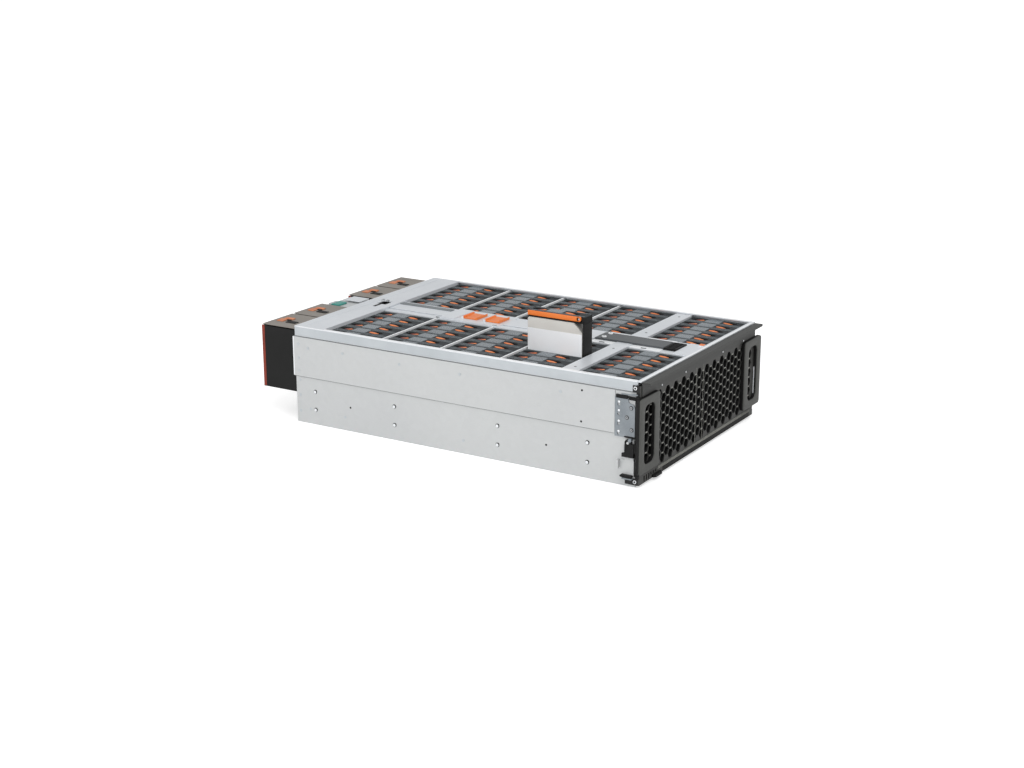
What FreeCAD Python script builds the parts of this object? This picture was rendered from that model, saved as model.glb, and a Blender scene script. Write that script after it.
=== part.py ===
# Four-unit, top-loading disk shelf for a 19 inch rack, shown without its top cover.
#
# Frame: X to the right seen from the front, Y to the rear, Z up; millimetres. The origin is on the
# surface that the shelf stands on, under the middle of its overall box. Places along the depth are
# measured from the bezel's front face, which lies at front_y.
#
# Every node is an object of the document whose Label is the node's name.

import FreeCAD
import Part

import math
import os
import re

import Sketcher
from FreeCAD import Placement, Rotation, Vector

DRIVING = {
    # shelf body
    "half_wide": 220, "chassis_high": 175, "chassis_deep": 680, "front_y": -371,
    "sheet_thick": 1.5, "rim_low": 158, "rim_flange": 7, "deck_start": 619,
    "panel_low": 85, "panel_high": 156, "panel_start": 45, "panel_over": 4,
    "bar_start": 119, "bar_end": 149, "bar_high": 173, "divider_thick": 3, "divider_high": 172,
    "channel_half": 37, "channel_low": 40, "channel_high": 171.5,
    # rail holes in the side walls
    "rail_hole": 2.5, "rail_first": 94, "rail_second": 470, "rail_pitch": 169, "rail_low": 27,
    "rail_rise": 33,
    # board under the drives
    "board_low": 3, "board_high": 4.6,
    # bezel
    "bezel_deep": 8, "bezel_low": 4, "bezel_high": 168, "band_low": 150, "lip_reach": 15,
    "cell_flat": 15.4, "cell_pitch": 17, "mesh_low": 20,
    # handles and ear brackets
    "handle_in": 165, "handle_out": 234, "handle_low": 25, "handle_high": 149.5,
    "handle_deep": 7, "slot_in": 182, "slot_out": 218, "slot_low": 38, "slot_high": 136,
    # drives and their carriers
    "slot_pitch": 30, "carrier_wide": 28, "carrier_long": 108, "cap_top": 170, "cap_high": 12,
    "disk_thick": 26.1, "disk_long": 101.6, "disk_tall": 147, "front_row": 10, "second_row": 154,
    "row_pitch": 118.5, "bay_floor": 11, "lift_high": 68, "disk_cut": 17,
    # fan modules, centre module and the sleds under them
    "fan_wide": 86, "fan_low": 53, "fan_high": 165, "fan_start": 626, "fan_end": 757,
    "fan_bore": 41, "fan_hub": 17, "blade_tip": 39, "sled_wide": 104, "sled_low": 3, "sled_high": 48,
}
FAN_PLACES = {"fan_1": -173, "fan_2": -84, "fan_3": 84, "fan_4": 173}
SLED_PLACES = {"power_left": -163.5, "io_left": -54.5, "io_right": 54.5, "power_right": 163.5}
SIDES = {"left": -1, "right": 1}
LEVER_PLACES = {1: 384, 2: 430}
LENS_HALF = 7
LENSES = (("29.5", "12.5"), ("93", "11.5"))
AXES = {"x": Vector(1, 0, 0), "y": Vector(0, 1, 0), "z": Vector(0, 0, 1)}

doc = FreeCAD.newDocument("disk_shelf")
sheet = doc.addObject("Spreadsheet::Sheet", "Sheet")
nodes = {}


def fill_sheet():
    """Write the driving dimensions, each with its alias."""
    for row, (alias, number) in enumerate(DRIVING.items(), start=1):
        sheet.set(f"A{row}", alias)
        sheet.set(f"B{row}", str(number))
        sheet.setAlias(f"B{row}", alias)
    doc.recompute()


def cells(text):
    """Turn the aliases in an expression into references to the sheet."""
    return re.sub(r"[a-z]+(?:_[a-z]+)+", r"Sheet.\g<0>", str(text))


def size(alias):
    """Read one driving dimension back from the sheet."""
    return float(getattr(sheet, alias))


def behind(distance):
    """The Y expression of a place behind the bezel's front face."""
    return f"front_y + {distance}"


def mirrored(sign, inner, outer):
    """Lowest and highest X expressions of a stretch on the left (-1) or right (1) side."""
    if sign < 0:
        return f"-({outer})", f"-({inner})"
    return f"{inner}", f"{outer}"


# ---------------------------------------------------------------- primitives and booleans

def block(name, low, high):
    """A box between two corners given as expressions."""
    solid = doc.addObject("Part::Box", name)
    for length, place, start, end in zip(("Length", "Width", "Height"), "xyz", low, high):
        solid.setExpression(length, cells(f"({end}) - ({start})"))
        solid.setExpression(f"Placement.Base.{place}", cells(start))
    return solid


def rod(name, radius, length, base, axis):
    """A cylinder that starts at base and runs along an axis."""
    solid = doc.addObject("Part::Cylinder", name)
    solid.Placement = Placement(Vector(), Rotation(AXES["z"], AXES[axis]))
    solid.setExpression("Radius", cells(radius))
    solid.setExpression("Height", cells(length))
    for place, start in zip("xyz", base):
        solid.setExpression(f"Placement.Base.{place}", cells(start))
    return solid


def prism(name, sides, flat_radius, length, base, axis):
    """A many-sided prism that a circle of the flat radius just touches inside."""
    solid = doc.addObject("Part::Prism", name)
    solid.Polygon = sides
    solid.Placement = Placement(Vector(), Rotation(AXES["z"], AXES[axis]))
    solid.setExpression("Circumradius", cells(f"({flat_radius}) / cos(180 deg / {sides})"))
    solid.setExpression("Height", cells(length))
    for place, start in zip("xyz", base):
        solid.setExpression(f"Placement.Base.{place}", cells(start))
    return solid


def fuse(name, shapes):
    """Join touching or overlapping solids into one."""
    joined = doc.addObject("Part::MultiFuse", name)
    joined.Shapes = shapes
    joined.Refine = True
    return joined


def cut(name, base, tools):
    """Take one or more tools away from a solid."""
    result = doc.addObject("Part::Cut", name)
    result.Base = base
    result.Tool = tools[0] if len(tools) == 1 else fuse(f"{name}_tools", tools)
    result.Refine = True
    return result


def keep(label, finished):
    """Name a finished sub-part as a node."""
    finished.Label = label
    nodes[label] = finished
    return finished


# ---------------------------------------------------------------- sketched bodies

def origin_plane(body, role):
    """One of a body's own origin planes."""
    return next(item for item in body.Origin.OriginFeatures if item.Role == role)


def add_loop(sketch, points):
    """Draw a closed outline whose corners are bound to the sheet."""
    start = sketch.GeometryCount
    count = len(points)
    flat = [Vector(sketch.evalExpression(cells(x)), sketch.evalExpression(cells(y)), 0) for x, y in points]
    for index in range(count):
        sketch.addGeometry(Part.LineSegment(flat[index], flat[(index + 1) % count]))
    for index in range(count):
        following = start + (index + 1) % count
        sketch.addConstraint(Sketcher.Constraint("Coincident", start + index, 2, following, 1))
    for index, (x, y) in enumerate(points):
        for kind, text, number in (("DistanceX", x, flat[index].x), ("DistanceY", y, flat[index].y)):
            place = sketch.addConstraint(Sketcher.Constraint(kind, -1, 1, start + index, 1, number))
            sketch.setExpression(f"Constraints[{place}]", cells(text))


def sketched(body, name, role, loops, offset="0"):
    """A sketch of closed loops on an origin plane, moved along the plane's normal."""
    sketch = body.newObject("Sketcher::SketchObject", name)
    sketch.AttachmentSupport = [(origin_plane(body, role), "")]
    sketch.MapMode = "FlatFace"
    sketch.setExpression("AttachmentOffset.Base.z", cells(offset))
    for points in loops:
        add_loop(sketch, points)
    return sketch


def padded(label, role, loops, length, offset="0", reverse=False):
    """A body made by padding one sketch."""
    body = doc.addObject("PartDesign::Body", label)
    profile = sketched(body, f"{label}_outline", role, loops, offset)
    pad = body.newObject("PartDesign::Pad", f"{label}_pad")
    pad.Profile = profile
    pad.setExpression("Length", cells(length))
    pad.Reversed = reverse
    return body


def rectangle(low_x, low_y, high_x, high_y):
    """Corners of an upright rectangle."""
    return [(low_x, low_y), (high_x, low_y), (high_x, high_y), (low_x, high_y)]


def clipped(low_x, low_y, high_x, high_y, corner):
    """Corners of an upright rectangle with its four corners clipped."""
    return [
        (f"{low_x} + {corner}", low_y), (f"{high_x} - {corner}", low_y),
        (high_x, f"{low_y} + {corner}"), (high_x, f"{high_y} - {corner}"),
        (f"{high_x} - {corner}", high_y), (f"{low_x} + {corner}", high_y),
        (low_x, f"{high_y} - {corner}"), (low_x, f"{low_y} + {corner}"),
    ]


# ---------------------------------------------------------------- shelf body

def make_floor():
    """Floor pan with a turned-up front lip."""
    inner = "half_wide - sheet_thick"
    pan = block("pan", (f"-({inner})", behind("bezel_deep"), "0"),
                (inner, behind("chassis_deep - sheet_thick"), "sheet_thick"))
    lip = block("pan_lip", (f"-({inner})", behind("bezel_deep"), "0"),
                (inner, behind("bezel_deep + sheet_thick"), "4"))
    keep("floor_pan", fuse("floor_fused", [pan, lip]))


def rail_holes(side, sign):
    """Two groups of four holes that take the rail's screws, as cutters through one wall."""
    cutters = []
    start = mirrored(sign, "half_wide - sheet_thick - 1", "half_wide + 1")[0]
    for group in ("rail_first", "rail_second"):
        for column in range(2):
            for row in range(2):
                place = (start, behind(f"{group} + {column} * rail_pitch"), f"rail_low + {row} * rail_rise")
                name = f"{group}_{side}_{column}{row}"
                cutters.append(rod(name, "rail_hole", "sheet_thick + 2", place, "x"))
    return cutters


def make_side(side, sign):
    """Side wall with rail holes, the proud upper panel and the rim along its top."""
    low, high = mirrored(sign, "half_wide - sheet_thick", "half_wide")
    wall = block(f"wall_{side}", (low, behind("bezel_deep"), "0"), (high, behind("chassis_deep"), "rim_low"))
    keep(f"side_wall_{side}", cut(f"wall_cut_{side}", wall, rail_holes(side, sign)))

    low, high = mirrored(sign, "half_wide", "half_wide + sheet_thick")
    panel = block(f"panel_{side}", (low, behind("panel_start"), "panel_low"),
                  (high, behind("chassis_deep + panel_over"), "panel_high"))
    keep(f"upper_panel_{side}", panel)

    edge = f"{sign} * half_wide"
    inside = f"{sign} * (half_wide - sheet_thick)"
    flange = f"{sign} * (half_wide - rim_flange)"
    top = "chassis_high"
    under = "chassis_high - sheet_thick"
    profile = [(edge, "rim_low"), (edge, top), (flange, top), (flange, under), (inside, under),
               (inside, "rim_low")]
    rim = padded(f"rim_{side}", "XZ_Plane", [profile], "chassis_deep - bezel_deep",
                 "-(front_y + bezel_deep)", reverse=True)
    keep(f"rim_{side}", rim)


def make_front_rail():
    """Thin bright flange over the bezel's top edge, turned down behind the bezel."""
    inner = "half_wide - sheet_thick"
    top = block("rail_top", ("-half_wide", behind("0"), "chassis_high - sheet_thick"),
                ("half_wide", behind("bezel_deep"), "chassis_high"))
    web = block("rail_web", (f"-({inner})", behind("bezel_deep - sheet_thick"), "bezel_high"),
                (inner, behind("bezel_deep"), "chassis_high"))
    keep("front_rail", fuse("rail_fused", [top, web]))


def make_rear_deck():
    """Rear deck with a shallow fold across it and a slot for the cover's latch."""
    reach = "half_wide - rim_flange"
    under = "chassis_high - sheet_thick"
    deck = block("deck_sheet", (f"-({reach})", behind("deck_start"), under),
                 (reach, behind("chassis_deep"), "chassis_high"))
    fold = block("deck_fold", (f"-({reach})", behind("chassis_deep - 20"), "chassis_high - 0.5"),
                 (reach, behind("chassis_deep - 18"), "chassis_high"))
    slot = block("deck_slot", ("-12", behind("deck_start + 14"), under),
                 ("12", behind("deck_start + 34"), "chassis_high"))
    lip = block("deck_lip", (f"-({reach})", behind("deck_start"), "chassis_high - 10"),
                (reach, behind("deck_start + sheet_thick"), "chassis_high"))
    keep("rear_deck", cut("deck_cut", fuse("deck_fused", [deck, lip]), [fold, slot]))


def make_cross_bar():
    """Wide bar between the first two rows, an upside-down channel notched for the centre channel."""
    flange = "half_wide - rim_flange"
    plate = block("bar_plate", (f"-({flange})", behind("bar_start"), "bar_high - sheet_thick"),
                  (flange, behind("bar_end"), "bar_high"))
    pieces = [plate]
    for side, sign in SIDES.items():
        low, high = mirrored(sign, "channel_half + 1", flange)
        for edge, start in (("near", "bar_start"), ("far", "bar_end - sheet_thick")):
            pieces.append(block(f"bar_{side}_{edge}", (low, behind(start), "bar_high - 14"),
                                (high, behind(f"{start} + sheet_thick"), "bar_high")))
    keep("cross_bar", fuse("bar_fused", pieces))


def make_dividers():
    """Three thin walls between rows, standing on the board and notched for the centre channel."""
    inner = "half_wide - sheet_thick"
    for number in range(1, 4):
        row = f"second_row + {number} * row_pitch - 8"
        notch = [(f"-({inner})", "board_high"), (inner, "board_high"), (inner, "divider_high"),
                 ("channel_half", "divider_high"), ("channel_half", "channel_low"),
                 ("-channel_half", "channel_low"), ("-channel_half", "divider_high"),
                 (f"-({inner})", "divider_high")]
        wall = padded(f"row_divider_{number}", "XZ_Plane", [notch], "divider_thick",
                      f"-({behind(row)})", reverse=True)
        keep(f"row_divider_{number}", wall)


def make_mid_wall():
    """Wall behind the last row, with a window in front of each fan."""
    inner = "half_wide - sheet_thick"
    loops = [rectangle(f"-({inner})", "sheet_thick", inner, "chassis_high - sheet_thick")]
    for centre in FAN_PLACES.values():
        loops.append(clipped(f"{centre} - 38", "fan_low + 8", f"{centre} + 38", "fan_high - 8", 10))
    for centre in SLED_PLACES.values():
        loops.append(rectangle(f"{centre} - 40", "14", f"{centre} + 40", "38"))
    wall = padded("mid_wall", "XZ_Plane", loops, "sheet_thick", f"-({behind('deck_start + sheet_thick')})", True)
    keep("mid_wall", wall)


def make_rear_wall():
    """Rear wall, open for the fan modules, the centre module and the sleds."""
    inner = "half_wide - sheet_thick"
    loops = [rectangle(f"-({inner})", "sheet_thick", inner, "chassis_high - sheet_thick")]
    for centre in FAN_PLACES.values():
        loops.append(rectangle(f"{centre} - fan_wide / 2 - 0.5", "fan_low - 0.5",
                               f"{centre} + fan_wide / 2 + 0.5", "fan_high + 0.5"))
    loops.append(rectangle("-channel_half - 0.5", "fan_low - 0.5", "channel_half + 0.5", "fan_high + 0.5"))
    for centre in SLED_PLACES.values():
        loops.append(rectangle(f"{centre} - sled_wide / 2 - 0.5", "sled_low - 0.5",
                               f"{centre} + sled_wide / 2 + 0.5", "sled_high + 0.5"))
    wall = padded("rear_wall", "XZ_Plane", loops, "sheet_thick",
                  f"-({behind('chassis_deep - sheet_thick')})", True)
    keep("rear_wall", wall)


def make_base_board():
    """Board on the floor with a connector bar under each half row of drives."""
    reach = "half_wide - 6"
    profile = rectangle(behind("46"), "board_low", behind("deck_start - 6"), "board_high")
    board = padded("board", "YZ_Plane", [profile], f"2 * ({reach})", f"-({reach})")
    parts = [board]
    for row in range(5):
        middle = f"{row_behind(row)} + carrier_long / 2"
        for side, sign in SIDES.items():
            low, high = mirrored(sign, "channel_half + 8", "channel_half + 6 * slot_pitch - 8")
            parts.append(block(f"socket_{row}_{side}", (low, behind(f"{middle} - 18"), "board_high"),
                               (high, behind(f"{middle} + 18"), "bay_floor")))
    for number, spot in enumerate((60, 240, 420, 600)):
        for side, sign in SIDES.items():
            parts.append(block(f"standoff_{side}_{number}", (f"{sign} * 190 - 5", behind(spot), "sheet_thick"),
                               (f"{sign} * 190 + 5", behind(spot + 10), "board_low")))
    keep("base_board", fuse("board_fused", parts))


# ---------------------------------------------------------------- centre channel

def make_channel():
    """Centre channel: a trough with turned-out edges that its covers lie on."""
    wall = "channel_half"
    inner = "channel_half - sheet_thick"
    bottom = "channel_low"
    shelf = "channel_high"
    trough = [(f"-{wall}", bottom), (wall, bottom), (wall, shelf), ("20", shelf),
              ("20", f"{shelf} - sheet_thick"), (inner, f"{shelf} - sheet_thick"),
              (inner, f"{bottom} + sheet_thick"), (f"-({inner})", f"{bottom} + sheet_thick"),
              (f"-({inner})", f"{shelf} - sheet_thick"), ("-20", f"{shelf} - sheet_thick"),
              ("-20", shelf), (f"-{wall}", shelf)]
    channel = padded("centre_channel", "XZ_Plane", [trough], "deck_start - bezel_deep - 1",
                     f"-({behind('bezel_deep')})", True)
    keep("centre_channel", channel)


def make_channel_covers():
    """Front plate, louvred vent, dark front cover over the cross bar, strips and the rear cover."""
    shelf = "channel_high + sheet_thick"
    front = block("front_plate", ("-35", behind("bezel_deep + 1"), "channel_high"), ("35", behind("37"), shelf))
    tab = block("front_plate_tab", ("24", behind("9"), shelf), ("34", behind("18"), f"{shelf} + 2"))
    keep("channel_plate", fuse("plate_fused", [front, tab]))

    frame = block("vent_frame", ("-19", behind("38"), shelf), ("21", behind("61"), f"{shelf} + 2"))
    rim = block("vent_floor", ("-21", behind("38"), "channel_high"), ("23", behind("61"), shelf))
    slots = [block(f"vent_slot_{number}", (f"-16 + {number} * 7", behind("41"), f"{shelf} + 0.6"),
                   (f"-12 + {number} * 7", behind("58"), f"{shelf} + 2")) for number in range(5)]
    keep("vent_grille", cut("vent_cut", fuse("vent_fused", [frame, rim]), slots))

    cover = [(behind("62"), "channel_high"), (behind("bar_start"), "channel_high"),
             (behind("bar_start"), "bar_high"), (behind("bar_end"), "bar_high"),
             (behind("bar_end"), "channel_high"), (behind("192"), "channel_high"),
             (behind("192"), f"{shelf} + 2"), (behind("189"), f"{shelf} + 2.5"),
             (behind("65"), f"{shelf} + 2.5"), (behind("62"), f"{shelf} + 2")]
    keep("channel_cover_front", padded("channel_cover_front", "YZ_Plane", [cover], "40", "-19"))

    tray = block("rear_cover_sheet", ("-36", behind("375"), "channel_high"), ("36", behind("500"), shelf))
    ridge = block("rear_cover_ridge", ("-34", behind("470"), shelf), ("34", behind("498"), f"{shelf} + 1.5"))
    strip = block("rear_strip", ("-19", behind("500"), "channel_high"), ("21", behind("deck_start - 1"), shelf))
    link = block("middle_strip", ("-19", behind("193"), "channel_high"), ("21", behind("375"), shelf))
    hinges = []
    for number, start in LEVER_PLACES.items():
        spot = behind(f"{start} + 30")
        for side, sign in SIDES.items():
            low, high = mirrored(sign, "18.3", "20")
            hinges.append(block(f"hinge_ear_{number}_{side}", (low, f"{spot} - 2", shelf),
                                (high, f"{spot} + 2", f"{shelf} + 4")))
        hinges.append(rod(f"hinge_pin_{number}", "0.9", "38", ("-19", spot, f"{shelf} + 2.3"), "x"))
    keep("channel_cover_rear", fuse("rear_cover_fused", [tray, ridge, strip, link, *hinges]))


def make_channel_lever(number, start):
    """Flat lever on the rear cover: a plate with a finger edge and a bored hinge barrel."""
    base = "channel_high + sheet_thick + 0.3"
    profile = [(behind(start), base), (behind(f"{start} + 30"), base),
               (behind(f"{start} + 30"), f"{base} + 1.6"), (behind(f"{start} + 6"), f"{base} + 1.6"),
               (behind(start), f"{base} + 4.5")]
    plate = padded(f"lever_plate_{number}", "YZ_Plane", [profile], "36", "-18")
    pin = (behind(f"{start} + 30"), f"{base} + 2")
    barrel = prism(f"lever_barrel_{number}", 12, "2", "36", ("-18", *pin), "x")
    bore = rod(f"lever_eye_{number}", "0.95", "38", ("-19", *pin), "x")
    lever = fuse(f"lever_joined_{number}", [plate, barrel])
    keep(f"channel_lever_{number}", cut(f"lever_bored_{number}", lever, [bore]))


# ---------------------------------------------------------------- bezel, lip, handles, brackets

def hexagon(centre_x, centre_z):
    """A flat-topped hexagon one cell wide."""
    reach = "cell_flat / sqrt(3)"
    corners = [(reach, "0"), (f"{reach} / 2", "cell_flat / 2"), (f"-{reach} / 2", "cell_flat / 2"),
               (f"-{reach}", "0"), (f"-{reach} / 2", "-cell_flat / 2"), (f"{reach} / 2", "-cell_flat / 2")]
    return [(f"{centre_x} + {x}", f"{centre_z} + {z}") for x, z in corners]


def body_box(body, name, low, high):
    """A box added to a body, between two corners given as expressions."""
    solid = body.newObject("PartDesign::AdditiveBox", name)
    for length, place, start, end in zip(("Length", "Width", "Height"), "xyz", low, high):
        solid.setExpression(length, cells(f"({end}) - ({start})"))
        solid.setExpression(f"Placement.Base.{place}", cells(start))
    return solid


def cut_through(body, name, profile):
    """A pocket through the bezel's thickness."""
    pocket = body.newObject("PartDesign::Pocket", name)
    pocket.Profile = profile
    pocket.setExpression("Length", cells("bezel_deep"))
    return pocket


def linear(body, name, profile, axis, step, count):
    """One direction of a pattern."""
    pattern = body.newObject("PartDesign::LinearPattern", name)
    pattern.Direction = (profile, [axis])
    pattern.setExpression("Length", cells(f"({step}) * ({count} - 1)"))
    pattern.Occurrences = count
    return pattern


def make_bezel():
    """Honeycomb bezel with side tabs and low vents; a pair of staggered cells is patterned both ways."""
    columns = 14
    rows = 7
    stride = "cell_pitch * sqrt(3)"
    plate = padded("bezel", "XZ_Plane", [rectangle("-half_wide", "bezel_low", "half_wide", "bezel_high")],
                   "bezel_deep", "-front_y", True)
    for side, sign in SIDES.items():
        low, high = mirrored(sign, "half_wide", "half_wide + sheet_thick")
        body_box(plate, f"tab_top_{side}", (low, behind("0"), "157"), (high, behind("14"), "bezel_high"))
        body_box(plate, f"tab_low_{side}", (low, behind("0"), "bezel_low"), (high, behind("25"), "14.5"))
    low_loops = [rectangle(f"-205 + {number} * 8", "6" if number < 3 else "11", f"-201 + {number} * 8", "16")
                 for number in range(6)]
    low_loops.append(rectangle("-176.2", "4.8", "-146.8", "9.2"))
    cut_through(plate, "low_openings", sketched(plate, "low_outline", "XZ_Plane", low_loops, "-front_y"))

    first_x = f"-({columns} - 0.5) * {stride} / 2"
    first_z = "mesh_low + cell_flat / 2"
    cell_pair = [hexagon(first_x, first_z), hexagon(f"{first_x} + {stride} / 2", f"{first_z} + cell_pitch / 2")]
    profile = sketched(plate, "cell_outline", "XZ_Plane", cell_pair, "-front_y")
    pocket = cut_through(plate, "cell_pocket", profile)
    grid = plate.newObject("PartDesign::MultiTransform", "cell_grid")
    grid.Originals = [pocket]
    across = linear(plate, "cells_across", profile, "H_Axis", stride, columns)
    upward = linear(plate, "cells_upward", profile, "V_Axis", "cell_pitch", rows)
    grid.Transformations = [across, upward]
    plate.Tip = grid
    keep("bezel", plate)


def make_lip():
    """Bent strip over the bezel's plain top band, reaching forward as a lip."""
    face = behind("-sheet_thick")
    tip = behind("-lip_reach")
    top = "chassis_high - sheet_thick"
    under = "chassis_high - 2 * sheet_thick"
    profile = [(behind("0"), "band_low"), (behind("0"), top), (tip, top), (tip, f"{under} - 2.5"),
               (f"{tip} + sheet_thick", f"{under} - 2.5"), (f"{tip} + sheet_thick", under), (face, under),
               (face, "band_low")]
    keep("bezel_lip", padded("bezel_lip", "YZ_Plane", [profile], "2 * half_wide - 4", "-half_wide + 2"))


def make_handle(side, sign):
    """Loop handle with a long rounded slot, its ear round the corner and a short arm along the side."""
    inner, outer = mirrored(sign, "handle_in", "handle_out")
    slot_low, slot_high = mirrored(sign, "slot_in", "slot_out")
    loops = [clipped(inner, "handle_low", outer, "handle_high", 4),
             clipped(slot_low, "slot_low", slot_high, "slot_high", 10)]
    frame = padded(f"handle_frame_{side}", "XZ_Plane", loops, "handle_deep", "-front_y")
    doc.recompute()
    face = size("front_y") - size("handle_deep")
    rims = [f"Edge{index}" for index, edge in enumerate(frame.Shape.Edges, start=1)
            if all(abs(vertex.Y - face) < 0.01 for vertex in edge.Vertexes)]
    raw = frame.Tip
    soft = frame.newObject("PartDesign::Chamfer", f"handle_soft_{side}")
    soft.Base = (raw, rims)
    soft.Size = 1.5
    frame.Tip = soft
    low, high = mirrored(sign, "half_wide + 0.1", "handle_out - 3")
    ear = block(f"handle_ear_{side}", (low, behind("-1"), "handle_low + 4"),
                (high, behind("3"), "handle_high - 4"))
    low, high = mirrored(sign, "half_wide", "half_wide + 2")
    arm = block(f"handle_arm_{side}", (low, behind("-1"), "146.2"), (high, behind("43"), "149"))
    keep(f"handle_{side}", fuse(f"handle_fused_{side}", [frame, ear, arm]))


def make_bracket(side, sign):
    """Zinc bracket on the side wall with four holes in a line and a cut front corner."""
    front = behind("9")
    rear = behind("44.4")
    outline = [(front, "81"), (rear, "81"), (rear, "146"), (behind("22"), "146"), (behind("20"), "138"),
               (behind("12"), "136"), (front, "131")]
    body = padded(f"ear_bracket_{side}", "YZ_Plane", [outline], "2",
                  "half_wide" if sign > 0 else "-half_wide - 2")
    hole = sketched(body, f"bracket_hole_{side}", "YZ_Plane",
                    [clipped(behind("35.4"), "83.4", behind("40"), "88", 1.3)],
                    "half_wide + 2" if sign > 0 else "-half_wide")
    pocket = body.newObject("PartDesign::Pocket", f"bracket_pocket_{side}")
    pocket.Profile = hole
    pocket.Length = 2
    holes = linear(body, f"bracket_holes_{side}", hole, "V_Axis", "16", 4)
    holes.Originals = [pocket]
    body.Tip = holes
    keep(f"ear_bracket_{side}", body)


def make_latch(side, sign):
    """Rail latch lever on its pin, and the hook plate below it."""
    low, high = mirrored(sign, "half_wide + 2.5", "half_wide + 7")
    base_x = low
    eye = rod(f"latch_eye_{side}", "6", "4.5", (base_x, behind("18"), "74"), "x")
    hole = rod(f"latch_bore_{side}", "2.05", "4.5", (base_x, behind("18"), "74"), "x")
    grip = block(f"latch_grip_{side}", (low, behind("8"), "55"), (high, behind("24"), "72"))
    bar = block(f"latch_bar_{side}", (low, behind("8"), "50"), (high, behind("29"), "56"))
    keep(f"rail_latch_{side}", cut(f"latch_cut_{side}", fuse(f"latch_fused_{side}", [eye, grip, bar]), [hole]))

    low, high = mirrored(sign, "half_wide", "half_wide + 2")
    plate = block(f"hook_sheet_{side}", (low, behind("9.5"), "16"), (high, behind("38"), "44"))
    start = mirrored(sign, "half_wide", "half_wide + 8")[0]
    pin = rod(f"latch_pin_{side}", "2", "8", (start, behind("18"), "74"), "x")
    spine = block(f"hook_spine_{side}", (low, behind("10"), "44"), (high, behind("26"), "78"))
    low, high = mirrored(sign, "half_wide", "half_wide + 9")
    hook = block(f"hook_nose_{side}", (low, behind("34"), "30"), (high, behind("38"), "44"))
    keep(f"hook_plate_{side}", fuse(f"hook_fused_{side}", [plate, spine, pin, hook]))


def make_pull_tab():
    """Flat tab that slides out of the bezel's lower band, with a rounded front."""
    start = behind("-6")
    outline = [("-176", behind("40")), ("-176", behind("-3")), ("-172", start), ("-151", start),
               ("-147", behind("-3")), ("-147", behind("40"))]
    keep("pull_tab", padded("pull_tab", "XY_Plane", [outline], "4.2", "4.9"))


# ---------------------------------------------------------------- drives

def slot_centre(slot):
    """X expression of a drive slot, 0 to 5 in the left half and 6 to 11 in the right half."""
    if slot < 6:
        return f"-channel_half - {5 - slot} * slot_pitch - slot_pitch / 2"
    return f"channel_half + {slot - 6} * slot_pitch + slot_pitch / 2"


def row_behind(row):
    """Expression of the distance behind the front face at which a row's carriers start."""
    if row == 0:
        return "front_row"
    return f"second_row + {row - 1} * row_pitch"


def make_carrier(name, lift="0"):
    """A carrier: two side strips under a cap with two finger openings, before it is put in a row."""
    top = f"cap_top + {lift}"
    under = f"cap_top - cap_high + {lift}"
    low = f"bay_floor + {lift}"
    strip = "(carrier_long - disk_long) / 2"
    arch = [("0", low), (strip, low), (strip, under), (f"carrier_long - {strip}", under),
            (f"carrier_long - {strip}", low), ("carrier_long", low), ("carrier_long", top), ("0", top)]
    body = padded(name, "YZ_Plane", [arch], "carrier_wide", "-carrier_wide / 2")
    lenses = [[(f"-{LENS_HALF}", middle), ("0", f"{middle} - {reach}"), (f"{LENS_HALF}", middle),
               ("0", f"{middle} + {reach}")] for middle, reach in LENSES]
    outline = sketched(body, f"{name}_lenses", "XY_Plane", lenses, top)
    pocket = body.newObject("PartDesign::Pocket", f"{name}_openings")
    pocket.Profile = outline
    pocket.Length = 7
    body.Tip = pocket
    return body


def make_disk(name, lift="0"):
    """A disk drive standing on its connector edge, with its top front corner cut off."""
    low = f"bay_floor + {lift}"
    high = f"{low} + disk_tall"
    strip = "(carrier_long - disk_long) / 2"
    outline = [(strip, low), (f"{strip} + disk_long", low), (f"{strip} + disk_long", high),
               (f"{strip} + disk_cut", high), (strip, f"{high} - disk_cut")]
    return padded(name, "YZ_Plane", [outline], "disk_thick", "-disk_thick / 2")


def slot_place(row, slot):
    """Where a drive of this row and slot stands."""
    return Vector(sheet_number(slot_centre(slot)), sheet_number(behind(row_behind(row))), 0)


def sheet_number(text):
    """Work out an expression of the sheet."""
    return float(nodes["floor_pan"].evalExpression(cells(text)))


def feature(label, shape):
    """A node whose shape is computed from the sheet's values."""
    made = doc.addObject("Part::Feature", label)
    made.Shape = shape
    keep(label, made)
    return made


def make_drive_banks(lifted):
    """Ten banks of six drives; the lifted drive's slot is left free."""
    unit = [make_carrier("carrier_unit"), make_disk("disk_unit")]
    doc.recompute()
    for row in range(5):
        for half, side in enumerate(SIDES):
            solids = []
            for slot in range(6 * half, 6 * half + 6):
                if (row, slot) == lifted:
                    continue
                for item in unit:
                    copy = item.Shape.copy()
                    copy.translate(slot_place(row, slot))
                    solids.append(copy)
            feature(f"drives_row{row + 1}_{side}", Part.makeCompound(solids))


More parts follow.
